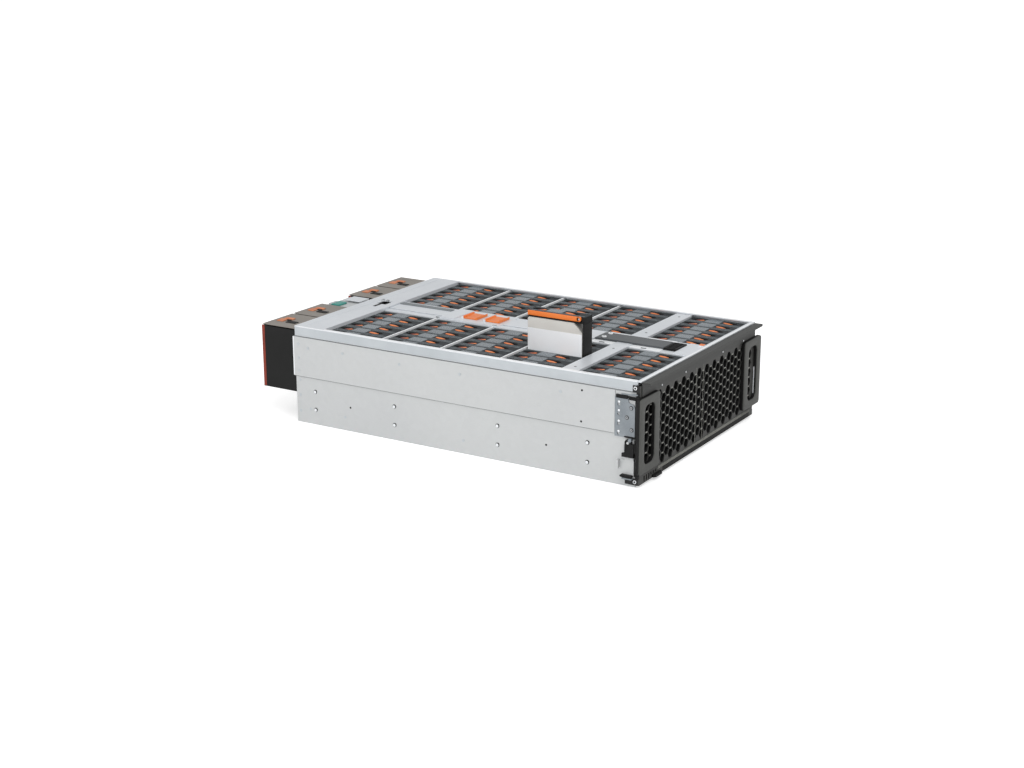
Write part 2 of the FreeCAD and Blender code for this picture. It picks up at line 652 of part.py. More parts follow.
def make_lifted_drive(row, slot):
    """The drive that stands proud of its row: disk, carrier and the lever along its top."""
    place = slot_place(row, slot)
    top = "cap_top + lift_high"
    edge = "-carrier_wide / 2"
    pin_spot = (edge, "10", f"{top} - 4.8")
    whole = make_carrier("raised_carrier", "lift_high")
    trough = block("lever_trough", (edge, "5", f"{top} - 9.5"), (f"{edge} + 3.2", "carrier_long - 5", top))
    pin = rod("lever_pin", "1.2", "3.4", pin_spot, "x")
    carrier = fuse("raised_fused", [cut("raised_cut", whole, [trough]), pin])
    carrier.Placement.Base = place
    keep("lifted_carrier", carrier)

    disk = make_disk("lifted_disk", "lift_high")
    disk.Placement.Base = place
    keep("lifted_disk", disk)

    bar = block("lever_bar", (f"{edge} + 0.3", "10", f"{top} - 9"),
                (f"{edge} + 2.9", "carrier_long - 8", f"{top} - 0.6"))
    eye = rod("lever_eye", "4.2", "2.6", (f"{edge} + 0.3", "10", f"{top} - 4.8"), "x")
    bore = rod("lever_bore", "1.25", "4", pin_spot, "x")
    lever = cut("lever_cut", fuse("lever_fused", [bar, eye]), [bore])
    lever.Placement.Base = place
    keep("lifted_lever", lever)


# ---------------------------------------------------------------- rear modules

def make_fan(name, centre):
    """Fan module: shell with a duct, a rear guard of struts with the rotor's shaft, and its rotor."""
    low_x = f"{centre} - fan_wide / 2"
    high_x = f"{centre} + fan_wide / 2"
    middle = "(fan_low + fan_high) / 2"
    shell = block(f"{name}_box", (low_x, behind("fan_start"), "fan_low"), (high_x, behind("fan_end"), "fan_high"))
    duct = prism(f"{name}_duct", 24, "fan_bore", "fan_end - fan_start + 2",
                 (centre, behind("fan_start - 1"), middle), "y")
    struts = []
    for number, (wide, tall) in enumerate(((4, 84), (84, 4))):
        start = (f"{centre} - {wide / 2}", behind("fan_end - 5"), f"{middle} - {tall / 2}")
        end = (f"{centre} + {wide / 2}", behind("fan_end - 2"), f"{middle} + {tall / 2}")
        struts.append(block(f"{name}_strut_{number}", start, end))
    mount = block(f"{name}_mount", (f"{centre} - 12", behind("fan_end - 14"), f"{middle} - 12"),
                  (f"{centre} + 12", behind("fan_end - 2"), f"{middle} + 12"))
    shaft = rod(f"{name}_shaft", "2", "26", (centre, behind("fan_end - 38"), middle), "y")
    latch = block(f"{name}_latch", (f"{centre} - 11", behind("fan_end - 32"), "fan_high"),
                  (f"{centre} + 11", behind("fan_end - 4"), "fan_high + 2.5"))
    hollow = cut(f"{name}_hollow", shell, [duct])
    keep(f"{name}_shell", fuse(f"{name}_fused", [hollow, *struts, mount, shaft, latch]))
    make_rotor(name, centre)


def make_rotor(name, centre):
    """Rotor: hub with fifteen flats, a bore, and five pitched blades in a polar pattern."""
    body = doc.addObject("PartDesign::Body", f"{name}_rotor")
    middle = "(fan_low + fan_high) / 2"
    hub = body.newObject("PartDesign::AdditivePrism", f"{name}_hub")
    hub.Polygon = 15
    hub.setExpression("Circumradius", cells("fan_hub"))
    hub.Height = 24
    blade = body.newObject("PartDesign::AdditiveBox", f"{name}_blade")
    blade.setExpression("Length", cells("blade_tip - fan_hub + 3"))
    blade.Width = 2
    blade.Height = 28
    blade.Placement = Placement(Vector(size("fan_hub") - 3, -10, 2.5), Rotation(AXES["x"], -38))
    spread = body.newObject("PartDesign::PolarPattern", f"{name}_blades")
    spread.Originals = [blade]
    spread.Axis = (next(item for item in body.Origin.OriginFeatures if item.Role == "Z_Axis"), [""])
    spread.Angle = 360
    spread.Occurrences = 5
    body.Tip = spread
    bore = body.newObject("PartDesign::SubtractiveCylinder", f"{name}_bore")
    bore.Radius = 2.05
    bore.Height = 24
    body.Tip = bore
    body.Placement = Placement(Vector(), Rotation(AXES["z"], AXES["y"]))
    for place, text in zip("xyz", (centre, behind("fan_end - 39"), middle)):
        body.setExpression(f"Placement.Base.{place}", cells(text))
    keep(f"{name}_rotor", body)


def make_centre_module():
    """Silver module between the fans, with a pull latch on its top edge."""
    shell = block("centre_box", ("-channel_half", behind("fan_start"), "fan_low"),
                  ("channel_half", behind("fan_end - 8"), "fan_high"))
    latch = block("centre_latch", ("-channel_half + 3", behind("fan_end - 34"), "fan_high"),
                  ("-channel_half + 25", behind("fan_end - 10"), "fan_high + 3"))
    vents = [block(f"centre_vent_{number}", ("-28", behind("fan_end - 14"), f"fan_low + 12 + {number} * 16"),
                   ("28", behind("fan_end - 8"), f"fan_low + 20 + {number} * 16")) for number in range(6)]
    keep("centre_module", cut("centre_cut", fuse("centre_fused", [shell, latch]), vents))


def make_sled(name, centre):
    """Low rear module: a power supply with its inlet, or an I/O module with its ports."""
    low_x = f"{centre} - sled_wide / 2"
    high_x = f"{centre} + sled_wide / 2"
    face = "chassis_deep"
    body = block(f"{name}_box", (low_x, behind("fan_start"), "sled_low"), (high_x, behind(face), "sled_high"))
    cutters = []
    if name.startswith("power"):
        cutters.append(block(f"{name}_inlet", (f"{centre} + 14", behind(f"{face} - 16"), "12"),
                             (f"{centre} + 42", behind(face), "32")))
        for number in range(5):
            start = f"{centre} - 46 + {number} * 8"
            cutters.append(block(f"{name}_vent_{number}", (start, behind(f"{face} - 6"), "10"),
                                 (f"{start} + 4", behind(face), "42")))
    else:
        for number, spot in enumerate((-46, -28, 14, 32)):
            cutters.append(block(f"{name}_port_{number}", (f"{centre} + {spot}", behind(f"{face} - 14"), "24"),
                                 (f"{centre} + {spot + 14}", behind(face), "34")))
    left, right, reach = f"{centre} - 4", f"{centre} + 4", behind(f"{face} + 12")
    grip = block(f"{name}_grip", (left, behind(face), "8"), (right, reach, "12"))
    post = block(f"{name}_grip_top", (left, behind(face), "38"), (right, reach, "42"))
    bail = block(f"{name}_bail", (left, behind(f"{face} + 9"), "8"), (right, reach, "42"))
    keep(f"{name}_module", fuse(f"{name}_fused", [cut(f"{name}_cut", body, cutters), grip, post, bail]))


# ---------------------------------------------------------------- build

def build():
    """Make every node in order."""
    make_floor()
    for side, sign in SIDES.items():
        make_side(side, sign)
    make_front_rail()
    make_rear_deck()
    make_cross_bar()
    make_dividers()
    make_mid_wall()
    make_rear_wall()
    make_base_board()
    make_channel()
    make_channel_covers()
    for number, start in LEVER_PLACES.items():
        make_channel_lever(number, start)
    make_bezel()
    make_lip()
    for side, sign in SIDES.items():
        make_handle(side, sign)
        make_bracket(side, sign)
        make_latch(side, sign)
    make_pull_tab()
    make_drive_banks(lifted=(1, 3))
    make_lifted_drive(1, 3)
    for name, centre in FAN_PLACES.items():
        make_fan(name, centre)
    make_centre_module()
    for name, centre in SLED_PLACES.items():
        make_sled(name, centre)


def check():
    """Stop on any failed object or unusable shape."""
    failed = [item.Label for item in doc.Objects if {"Invalid", "Error"} & set(item.State)]
    if failed:
        raise RuntimeError(f"failed objects: {failed}")
    for label, item in nodes.items():
        if item.Shape.isNull() or not item.Shape.isValid() or item.Shape.Volume <= 0:
            raise RuntimeError(f"unusable shape: {label}")


def export():
    """Write one STEP file for each node."""
    os.makedirs("parts", exist_ok=True)
    for label, item in nodes.items():
        item.Shape.exportStep(f"parts/{label}.step")


fill_sheet()
build()
doc.recompute()
check()
export()
print(len(nodes), "nodes")
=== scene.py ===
"""Looks of a top-loading disk shelf enclosure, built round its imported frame.

Metres; X runs to the right seen from the front, Y to the rear and Z up.
"""

import logging
import math
from dataclasses import dataclass, field
from enum import Enum

import bmesh
import bpy
import numpy as np
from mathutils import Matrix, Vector


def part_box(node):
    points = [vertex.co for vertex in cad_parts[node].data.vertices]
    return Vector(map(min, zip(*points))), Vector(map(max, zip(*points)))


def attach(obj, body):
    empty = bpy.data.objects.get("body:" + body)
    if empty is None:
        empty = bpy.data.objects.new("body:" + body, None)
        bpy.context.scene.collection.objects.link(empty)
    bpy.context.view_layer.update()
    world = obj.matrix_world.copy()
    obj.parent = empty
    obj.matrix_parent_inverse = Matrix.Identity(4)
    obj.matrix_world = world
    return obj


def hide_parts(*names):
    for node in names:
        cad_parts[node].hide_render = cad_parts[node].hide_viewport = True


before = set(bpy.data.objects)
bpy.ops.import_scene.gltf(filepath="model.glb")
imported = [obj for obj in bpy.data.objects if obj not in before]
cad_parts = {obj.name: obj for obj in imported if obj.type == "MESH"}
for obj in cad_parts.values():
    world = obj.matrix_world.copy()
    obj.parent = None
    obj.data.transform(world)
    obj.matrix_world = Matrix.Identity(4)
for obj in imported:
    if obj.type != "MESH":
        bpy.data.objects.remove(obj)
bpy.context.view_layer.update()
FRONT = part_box("bezel")[0][1]
Array = np.ndarray
MM = 0.001
CHASSIS = "chassis"
SHARP = math.radians(35)  # edges that turn by more than this stay sharp, and are the ones to soften
GRAIN_SHARE = 0.45  # how much the grain adds to the clouds in a finish's shade
SHADE_RANGE = (0.5, 0.95)  # levels of the two together where the shade begins and where it is full
GRAIN_RANGE = (0.3, 0.7)  # the grain's usual levels, spread over the gloss range
METAL = 0.5  # finishes from this metallic level up are metals, and keep the default IOR
log = logging.getLogger("disk_shelf")


class Side(Enum):
    """The two sides of the shelf; the value is the sign of X there."""

    LEFT = -1
    RIGHT = 1

    @property
    def word(self) -> str:
        """The side's word in the names of nodes and pieces."""
        return self.name.lower()


# ---------------------------------------------------------------- finishes

def linear(code: str) -> tuple[float, float, float, float]:
    """Turn an sRGB hex colour into linear RGBA.

    Args:
        code: six hex digits after a hash.

    Returns:
        Linear red, green, blue and an alpha of 1.
    """
    parts = np.array([int(code[start:start + 2], 16) for start in (1, 3, 5)]) / 255
    low = parts / 12.92
    high = ((parts + 0.055) / 1.055) ** 2.4
    return (*np.where(parts <= 0.04045, low, high).tolist(), 1.0)


def add_node(tree: bpy.types.NodeTree, kind: str, settings: dict | None = None,
             values: dict | None = None) -> bpy.types.Node:
    """Add a node with its settings and inputs.

    Args:
        tree: the node tree that gets the node.
        kind: the node's type name.
        settings: attributes of the node.
        values: inputs by name or number; an output socket is linked, anything else is written.

    Returns:
        The new node.
    """
    node = tree.nodes.new(kind)
    for name, value in (settings or {}).items():
        setattr(node, name, value)
    for name, value in (values or {}).items():
        if isinstance(value, bpy.types.NodeSocket):
            tree.links.new(value, node.inputs[name])
        else:
            node.inputs[name].default_value = value
    return node


@dataclass(frozen=True)
class Finish:
    """A surface finish: two shades of one colour, a gloss range and a fine grain.

    The grain is noise of a real size in millimetres; it shifts the shade, the gloss and the height.
    """

    name: str
    colour: str
    shade: str
    rough: tuple[float, float] = (0.45, 0.6)
    metallic: float = 0.0
    ior: float = 1.5
    grain_mm: float = 0.8
    relief_mm: float = 0.02
    stretch: tuple[float, float, float] = (1.0, 1.0, 1.0)
    cloud_mm: float = 60.0

    def grain(self, tree: bpy.types.NodeTree, place: bpy.types.NodeSocket) -> bpy.types.NodeSocket:
        """Fine noise stretched along the way the surface was worked.

        Args:
            tree: the material's node tree.
            place: Object coordinates.

        Returns:
            The noise's level.
        """
        stretched = add_node(tree, "ShaderNodeMapping", {}, {"Vector": place, "Scale": self.stretch})
        noise = add_node(tree, "ShaderNodeTexNoise", {},
                         {"Vector": stretched.outputs[0], "Scale": 1 / (self.grain_mm * MM), "Detail": 3.0})
        return noise.outputs[0]

    def colours(self, tree: bpy.types.NodeTree, place: bpy.types.NodeSocket,
                grain: bpy.types.NodeSocket) -> bpy.types.NodeSocket:
        """Mix the two shades by soft clouds and a little grain.

        Args:
            tree: the material's node tree.
            place: Object coordinates.
            grain: the fine noise's level.

        Returns:
            The colour.
        """
        cloud = add_node(tree, "ShaderNodeTexNoise", {},
                         {"Vector": place, "Scale": 1 / (self.cloud_mm * MM), "Detail": 4.0})
        both = add_node(tree, "ShaderNodeMath", {"operation": "MULTIPLY_ADD"},
                        {0: grain, 1: GRAIN_SHARE})
        tree.links.new(cloud.outputs[0], both.inputs[2])
        spread = add_node(tree, "ShaderNodeMapRange", {},
                          {"Value": both.outputs[0], "From Min": SHADE_RANGE[0],
                           "From Max": SHADE_RANGE[1]})
        mix = add_node(tree, "ShaderNodeMix", {"data_type": "RGBA"}, {"Factor": spread.outputs[0]})
        mix.inputs[6].default_value = linear(self.colour)
        mix.inputs[7].default_value = linear(self.shade)
        return mix.outputs[2]

    def material(self) -> bpy.types.Material:
        """Make the material once and give the same one afterwards.

        Returns:
            The material.
        """
        made = bpy.data.materials.get(self.name)
        if made:
            return made
        made = bpy.data.materials.new(self.name)
        made.use_nodes = True
        tree = made.node_tree
        shader = tree.nodes["Principled BSDF"]
        place = add_node(tree, "ShaderNodeTexCoord").outputs["Object"]
        grain = self.grain(tree, place)
        tree.links.new(self.colours(tree, place, grain), shader.inputs["Base Color"])
        gloss = add_node(tree, "ShaderNodeMapRange", {},
                         {"Value": grain, "From Min": GRAIN_RANGE[0], "From Max": GRAIN_RANGE[1],
                          "To Min": self.rough[0], "To Max": self.rough[1]})
        tree.links.new(gloss.outputs[0], shader.inputs["Roughness"])
        shader.inputs["Metallic"].default_value = self.metallic
        if self.metallic < METAL:
            shader.inputs["IOR"].default_value = self.ior
        bump = add_node(tree, "ShaderNodeBump", {},
                        {"Height": grain, "Distance": self.relief_mm * MM, "Strength": 1.0})
        tree.links.new(bump.outputs[0], shader.inputs["Normal"])
        return made


@dataclass(frozen=True)
class ZincSheet(Finish):
    """Hot-dip zinc-coated steel: pale, softly cloudy, with faint crystal patches of zinc."""

    spangle_mm: float = 9.0
    spangle_shift: float = 0.015

    def colours(self, tree: bpy.types.NodeTree, place: bpy.types.NodeSocket,
                grain: bpy.types.NodeSocket) -> bpy.types.NodeSocket:
        """Shift the base shades a little from one zinc crystal to the next.

        Args:
            tree: the material's node tree.
            place: Object coordinates.
            grain: the fine noise's level.

        Returns:
            The colour.
        """
        base = super().colours(tree, place, grain)
        crystal = add_node(tree, "ShaderNodeTexVoronoi", {},
                           {"Vector": place, "Scale": 1 / (self.spangle_mm * MM)})
        level = add_node(tree, "ShaderNodeMapRange", {},
                         {"Value": crystal.outputs["Color"], "To Min": 1 - self.spangle_shift,
                          "To Max": 1 + self.spangle_shift})
        shifted = add_node(tree, "ShaderNodeHueSaturation", {},
                           {"Color": base, "Value": level.outputs[0]})
        return shifted.outputs[0]


@dataclass(frozen=True)
class DeepCells(Finish):
    """Moulded plastic whose colour darkens towards the back of its cells, as painted shade."""

    front: float = FRONT
    rim: float = 0.4 * MM
    depth: float = 2.2 * MM
    painted_cell_shade: str = "#0c0c0c"

    def colours(self, tree: bpy.types.NodeTree, place: bpy.types.NodeSocket,
                grain: bpy.types.NodeSocket) -> bpy.types.NodeSocket:
        """Fade the plastic's colour to near black behind the front face, as painted shade inside the cells.

        Args:
            tree: the material's node tree.
            place: Object coordinates.
            grain: the fine noise's level.

        Returns:
            The colour.
        """
        base = super().colours(tree, place, grain)
        parts = add_node(tree, "ShaderNodeSeparateXYZ", {}, {0: place})
        fade = add_node(tree, "ShaderNodeMapRange", {},
                        {"Value": parts.outputs[1], "From Min": self.front + self.rim,
                         "From Max": self.front + self.depth})
        mix = add_node(tree, "ShaderNodeMix", {"data_type": "RGBA"}, {"Factor": fade.outputs[0]})
        tree.links.new(base, mix.inputs[6])
        # the near black at the back of the cells is painted shade
        mix.inputs[7].default_value = linear(self.painted_cell_shade)
        return mix.outputs[2]


class Finishes(Enum):
    """Every finish on the enclosure, with what it gives the eye."""

    # Hot-dip zinc on rolled sheet: an even pale grey, hardly glossy, with faint crystals and fine lines.
    SHEET = ZincSheet("zinc_coated_sheet", "#cbcdcd", "#c5c7c8", (0.5, 0.6), 0.2, relief_mm=0.004,
                      grain_mm=0.5, stretch=(1.0, 0.06, 1.0), cloud_mm=260.0)
    # The same zinc on the rims and the deck, painted lighter as painted light on faces turned up: cool
    # near-white with a soft sheen.
    LIT_TOP_SHEET = ZincSheet("zinc_rim_painted_light", "#e4e8ec", "#d8dce1", (0.34, 0.46), 0.3, relief_mm=0.004,
                          grain_mm=0.5, stretch=(1.0, 0.06, 1.0), cloud_mm=200.0)
    # Folds, sheared edges and small heads painted near-white as highlights: thin bright lines and dots.
    EDGE = Finish("burnished_sheet_edge", "#f6f8fa", "#eef1f4", (0.3, 0.4), 0.1, relief_mm=0.002)
    # Zinc on the upper band of the sides: a little greyer and glossier than the sheet below.
    SKIRT = ZincSheet("zinc_coated_skirt", "#c6cbcf", "#bcc2c6", (0.4, 0.5), 0.3, relief_mm=0.004,
                      grain_mm=0.5)
    # The gap where two sheets meet, and painted shade round screws and in holes, notches and dimples: thin
    # matt grey lines.
    SEAM = Finish("shaded_sheet_joint", "#7d8183", "#74787a", (0.6, 0.7), relief_mm=0.004)
    # Bright zinc plating on brackets: bluish grey with clear patches and a metal gloss.
    ZINC = ZincSheet("bright_zinc_plate", "#a6acb1", "#7f868c", (0.28, 0.45), 0.6, spangle_mm=5.0)
    # Turned steel: small sharp glints on screws and pins.
    STEEL = Finish("bright_screw_steel", "#c9ccce", "#a8acb0", (0.2, 0.35), 1.0, grain_mm=0.3)
    # Moulded ABS: dark warm grey with a fine texture, and cells painted black inside as painted shade.
    BEZEL = DeepCells("moulded_bezel_abs", "#41413f", "#3a3a38", (0.42, 0.58), relief_mm=0.03,
                      grain_mm=0.6)
    # Paint on steel: dark and smooth, with a slightly tighter highlight than the bezel's.
    LIP = Finish("painted_steel_lip", "#333432", "#2d2e2c", (0.4, 0.52), relief_mm=0.01, grain_mm=0.4)
    # Moulded ABS a step lighter than the bezel, so that the loops stand out from the mesh.
    HANDLE = Finish("moulded_handle_abs", "#4c4d4a", "#454643", (0.42, 0.58), relief_mm=0.03,
                    grain_mm=0.6)
    # Black nylon: hardly any highlight, so that latches stay black; the same black is painted as shade in
    # recesses, wells, holes and gaps.
    BLACK = Finish("black_moulded_nylon", "#151515", "#0f0f0f", (0.5, 0.65), ior=1.35, relief_mm=0.02,
                   grain_mm=0.5)
    # Dark ABS cover: smooth blue-grey with a broad soft gloss.
    COVER = Finish("dark_cover_abs", "#54585b", "#494d50", (0.35, 0.5), relief_mm=0.02, grain_mm=0.5)
    # Glass-filled nylon: matt dark slate, its fibres drawn as coarse streaks so that they show at all.
    CARRIER = Finish("carrier_glass_filled_nylon", "#3a3e41", "#313538", (0.6, 0.75), ior=1.3,
                     relief_mm=0.02, grain_mm=0.5, stretch=(1.0, 0.2, 1.0))
    # The carrier's smooth middle: glossy, and a lighter grey that also holds a painted reflection of the
    # light from above.
    PAD = Finish("carrier_smooth_pad", "#7b8389", "#6a7177", (0.22, 0.34), relief_mm=0.01, grain_mm=0.5)
    # Ribs painted pale as highlights: thin pale lines along each carrier.
    RIB_HIGHLIGHT = Finish("rubbed_carrier_ribs", "#8b9296", "#7a8185", (0.25, 0.35), relief_mm=0.01, grain_mm=0.5)
    # Moulded orange ABS: strong and clean, with a tight highlight.
    ORANGE = Finish("orange_lever_abs", "#f28433", "#e67228", (0.3, 0.42), relief_mm=0.01, grain_mm=0.5)
    # Orange ABS that has faded: pale peach with brick patches about a latch wide.
    PEACH = Finish("faded_orange_abs", "#d98f64", "#b8623a", (0.4, 0.5), relief_mm=0.01, grain_mm=0.5,
                   cloud_mm=12)
    # The same ABS where no light falls on it, and the fans' dark rear edges: a deep red-brown.
    RED = Finish("shaded_lever_abs", "#93321a", "#6f2412", (0.35, 0.5), relief_mm=0.01, grain_mm=0.5)
    # Cast aluminium, machined: warm off-white with a soft metal gloss.
    CAST = Finish("cast_disk_aluminium", "#dcdad5", "#cfcdc8", (0.4, 0.5), 0.4, relief_mm=0.02,
                  grain_mm=0.4)
    # Bare paper: the whitest and flattest surface.
    LABEL = Finish("bare_paper_label", "#eceef0", "#e3e5e8", (0.5, 0.6), relief_mm=0.004, grain_mm=0.3)
    # Moulded grey ABS: an even mid grey with a broad gloss.
    STRIP = Finish("grey_guide_abs", "#757b7f", "#6a7074", (0.35, 0.5), relief_mm=0.01, grain_mm=0.5)
    # ABS painted pale as highlights on the webs and ribs that stand furthest out: light specks on the dark
    # bezel.
    WEB_HIGHLIGHT = Finish("web_edge_painted_highlight", "#999992", "#868680", (0.4, 0.5), relief_mm=0.004, grain_mm=0.4)
    # Brown-grey ABS covers: dusty, with a weak gloss.
    FAN_TOP = Finish("fan_cover_abs", "#8b857e", "#7f7972", (0.4, 0.55), relief_mm=0.02, grain_mm=0.6)
    # Black ABS housings: the darkest of the large faces, with no clear highlight.
    FAN_SIDE = Finish("fan_housing_abs", "#181818", "#131313", (0.55, 0.7), ior=1.35, relief_mm=0.03,
                      grain_mm=0.6)
    # Moulded teal ABS: one clean touch point with a tight highlight.
    TEAL = Finish("teal_latch_abs", "#3f958b", "#35857c", (0.3, 0.42), relief_mm=0.01, grain_mm=0.5)
    # Solder mask on a circuit board: dark green, smooth and glossy.
    BOARD = Finish("solder_mask_board", "#1f4a31", "#173c27", (0.3, 0.45), grain_mm=0.4)


# ---------------------------------------------------------------- surfaces

Shell = tuple[Array, list[Array]]


def rounded_outline(wide: float, tall: float, radius: float, steps: int = 4) -> Array:
    """Rounded rectangle about the origin: four quarter circles joined by straight sides.

    Args:
        wide: size along the first axis.
        tall: size along the second axis.
        radius: radius of the corners.
        steps: steps in each quarter circle.

    Returns:
        Points of the closed outline, counter-clockwise, shape (4 * (steps + 1), 2).
    """
    quarter = np.linspace(0, math.pi / 2, steps + 1)
    turns = (np.arange(4)[:, None] * math.pi / 2 + quarter[None, :]).ravel()
    signs = np.repeat(np.array([(1, 1), (-1, 1), (-1, -1), (1, -1)]), steps + 1, axis=0)
    middles = signs * np.array([wide / 2 - radius, tall / 2 - radius])
    return middles + radius * np.stack([np.cos(turns), np.sin(turns)], axis=1)


def skin(rings: Array, ends: bool = True) -> Shell:
    """Close a stack of rings with quads, and its two ends with one face each.

    Args:
        rings: K closed rings of N points, shape (K, N, 3).
        ends: False joins the last ring to the first instead, as on a loop.

    Returns:
        The points and the blocks of faces.
    """
    count, around = rings.shape[:2]
    bands = count - 1 if ends else count
    row = np.arange(bands)[:, None] * around
    following = (np.arange(bands)[:, None] + 1) % count * around
    here = np.arange(around)[None, :]
    beside = (here + 1) % around
    quads = np.stack([row + here, row + beside, following + beside, following + here], axis=-1)
    faces = [quads.reshape(-1, 4)]
    if ends:
        faces += [np.arange(around)[None, ::-1], (count - 1) * around + np.arange(around)[None, :]]
    return rings.reshape(-1, 3), faces


def stack(outline: Array, heights: Array, insets: Array, axis: int, centre: Array) -> Array:
    """Repeat an outline along an axis, drawn in by an inset at each height.

    Args:
        outline: closed outline, shape (N, 2).
        heights: place of each ring along the axis.
        insets: how far each ring is drawn in towards the middle.
        axis: 0, 1 or 2 for X, Y or Z.
        centre: middle of the outline, as a point.

    Returns:
        Rings of points, shape (K, N, 3).
    """
    half = np.abs(outline).max(axis=0)
    scale = 1 - insets[:, None, None] / half[None, None, :]
    flat = outline[None, :, :] * scale
    rings = np.empty((len(heights), len(outline), 3))
    first, second = [place for place in range(3) if place != axis]
    rings[:, :, first] = flat[:, :, 0] + centre[first]
    rings[:, :, second] = flat[:, :, 1] + centre[second]
    rings[:, :, axis] = heights[:, None]
    return rings


def soft_block(low: tuple, high: tuple, corner: float = 0.6 * MM, edge: float = 0.4 * MM, axis: int = 2,
               steps: int = 3) -> Shell:
    """A block with rounded corners, whose ends are drawn in along a quarter circle.

    Args:
        low: lowest corner.
        high: highest corner.
        corner: radius of the corners round the axis.
        edge: radius of the edges at both ends.
        axis: the axis that the corners run along.
        steps: steps in each quarter circle.

    Returns:
        The points and the blocks of faces.
    """
    low, high = np.array(low, float), np.array(high, float)
    size = high - low
    across = [place for place in range(3) if place != axis]
    outline = rounded_outline(size[across[0]], size[across[1]], corner, steps)
    turn = np.linspace(0, math.pi / 2, steps)
    rise = edge * (1 - np.cos(turn))
    drawn = edge * (1 - np.sin(turn))
    heights = np.concatenate([low[axis] + rise, high[axis] - rise[::-1]])
    return skin(stack(outline, heights, np.concatenate([drawn, drawn[::-1]]), axis, (low + high) / 2))


def turned(profile: Array, centre: tuple, axis: int, around: int = 20) -> Shell:
    """Turn a profile of radii and heights about an axis.

    Args:
        profile: rows of radius and height along the axis, shape (K, 2).
        centre: where the profile's zero height lies.
        axis: 0, 1 or 2 for X, Y or Z.
        around: points in each circle.

    Returns:
        The points and the blocks of faces.
    """
    turn = np.arange(around) * 2 * math.pi / around
    circle = np.stack([np.cos(turn), np.sin(turn)], axis=1)
    rings = np.empty((len(profile), around, 3))
    first, second = [place for place in range(3) if place != axis]
    rings[:, :, first] = profile[:, :1] * circle[:, 0] + centre[first]
    rings[:, :, second] = profile[:, :1] * circle[:, 1] + centre[second]
    rings[:, :, axis] = profile[:, 1:] + centre[axis]
    return skin(rings)


def screw_head(centre: tuple, axis: int, radius: float, high: float) -> Shell:
    """A low domed head with a round recess; a negative height points it the other way."""
    profile = np.array([(1.0, 0.0), (1.0, 0.45), (0.86, 0.8), (0.6, 1.0), (0.42, 1.0), (0.38, 0.35)])
    return turned(profile * np.array([radius, high]), centre, axis, 16)


def plate(x: tuple[float, float], depth: tuple[float, float], z: tuple[float, float],
          corner: float = 0.8) -> Shell:
    """A flat plate whose corners are rounded across its thinnest side.

    Args:
        x: its two ends along X, in millimetres.
        depth: its two ends behind the bezel's face, in millimetres.
        z: its two ends above the floor, in millimetres.
        corner: radius of its corners, in millimetres.

    Returns:
        The points and the blocks of faces.
    """
    ends = np.sort(np.array([x, np.add(depth, FRONT / MM), z]), axis=1) * MM
    size = ends[:, 1] - ends[:, 0]
    axis = int(size.argmin())
    corner = min(corner * MM, 0.4 * np.delete(size, axis).min())
    return soft_block(ends[:, 0], ends[:, 1], corner, 0.3 * size[axis], axis, 2)


def disc(x: float, depth: float, z: float, axis: int, radius: float, high: float,
         around: int = 14) -> Shell:
    """A flat disc with a softened rim, placed in millimetres like a plate; it rises along its axis."""
    profile = np.array([(1.0, 0.0), (1.0, 0.6), (0.9, 1.0)]) * np.array([radius, high]) * MM
    return turned(profile, (x * MM, FRONT + depth * MM, z * MM), axis, around)


@dataclass
class Pile:
    """Closed shells gathered for one piece, with a finish for each."""

    points: list[Array] = field(default_factory=list)
    faces: list[Array] = field(default_factory=list)
    marks: list[int] = field(default_factory=list)
    finishes: list[Finishes] = field(default_factory=list)
    count: int = 0

    def add(self, shell: Shell, finish: Finishes) -> None:
        """Add one shell in one finish."""
        self.add_parts(shell[0], [(block, finish) for block in shell[1]])

    def add_parts(self, points: Array, parts: list[tuple[Array, Finishes]]) -> None:
        """Add one shell whose blocks of faces have finishes of their own.

        Args:
            points: the shell's points.
            parts: each block of faces, numbered from the shell's first point, with its finish.
        """
        for block, finish in parts:
            if finish not in self.finishes:
                self.finishes.append(finish)
            self.faces.append(block + self.count)
            self.marks.append(self.finishes.index(finish))
        self.points.append(points)
        self.count += len(points)

    def repeated(self, places: Array) -> "Pile":
        """Repeat the whole pile.

        Args:
            places: a shift for each copy, shape (N, 3).

        Returns:
            A new pile with all the copies.
        """
        result = Pile(finishes=list(self.finishes))
        whole = np.concatenate(self.points)
        for place in places:
            result.points.append(whole + place)
            result.faces += [block + result.count for block in self.faces]
            result.marks += self.marks
            result.count += self.count
        return result

    def piece(self, name: str, body: str = CHASSIS, instead: tuple[str, ...] = ()) -> None:
        """Make the object, point its faces outward and hang it on its body.

        Args:
            name: the piece's name.
            body: the body that it moves with.
            instead: CAD nodes that it stands for.
        """
        mesh = bpy.data.meshes.new(name)
        faces = [row for block in self.faces for row in block.tolist()]
        mesh.from_pydata(np.concatenate(self.points).tolist(), [], faces)
        marks = np.repeat(np.array(self.marks), [len(block) for block in self.faces])
        mesh.polygons.foreach_set("material_index", marks.astype(np.int32))
        for finish in self.finishes:
            mesh.materials.append(finish.value.material())
        outward = bmesh.new()
        outward.from_mesh(mesh)
        bmesh.ops.recalc_face_normals(outward, faces=outward.faces)
        outward.to_mesh(mesh)
        outward.free()
        mesh.polygons.foreach_set("use_smooth", np.ones(len(mesh.polygons), bool))
        mesh.set_sharp_from_angle(angle=SHARP)
        made = bpy.data.objects.new(name, mesh)
        bpy.context.collection.objects.link(made)
        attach(made, body)
        if instead:
            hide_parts(*instead)
        log.info("%s: %d faces", name, len(mesh.polygons))


def corners(node: str) -> tuple[Array, Array]:
    """Lowest and highest corner of a CAD node, as arrays."""
    low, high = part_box(node)
    return np.array(low), np.array(high)


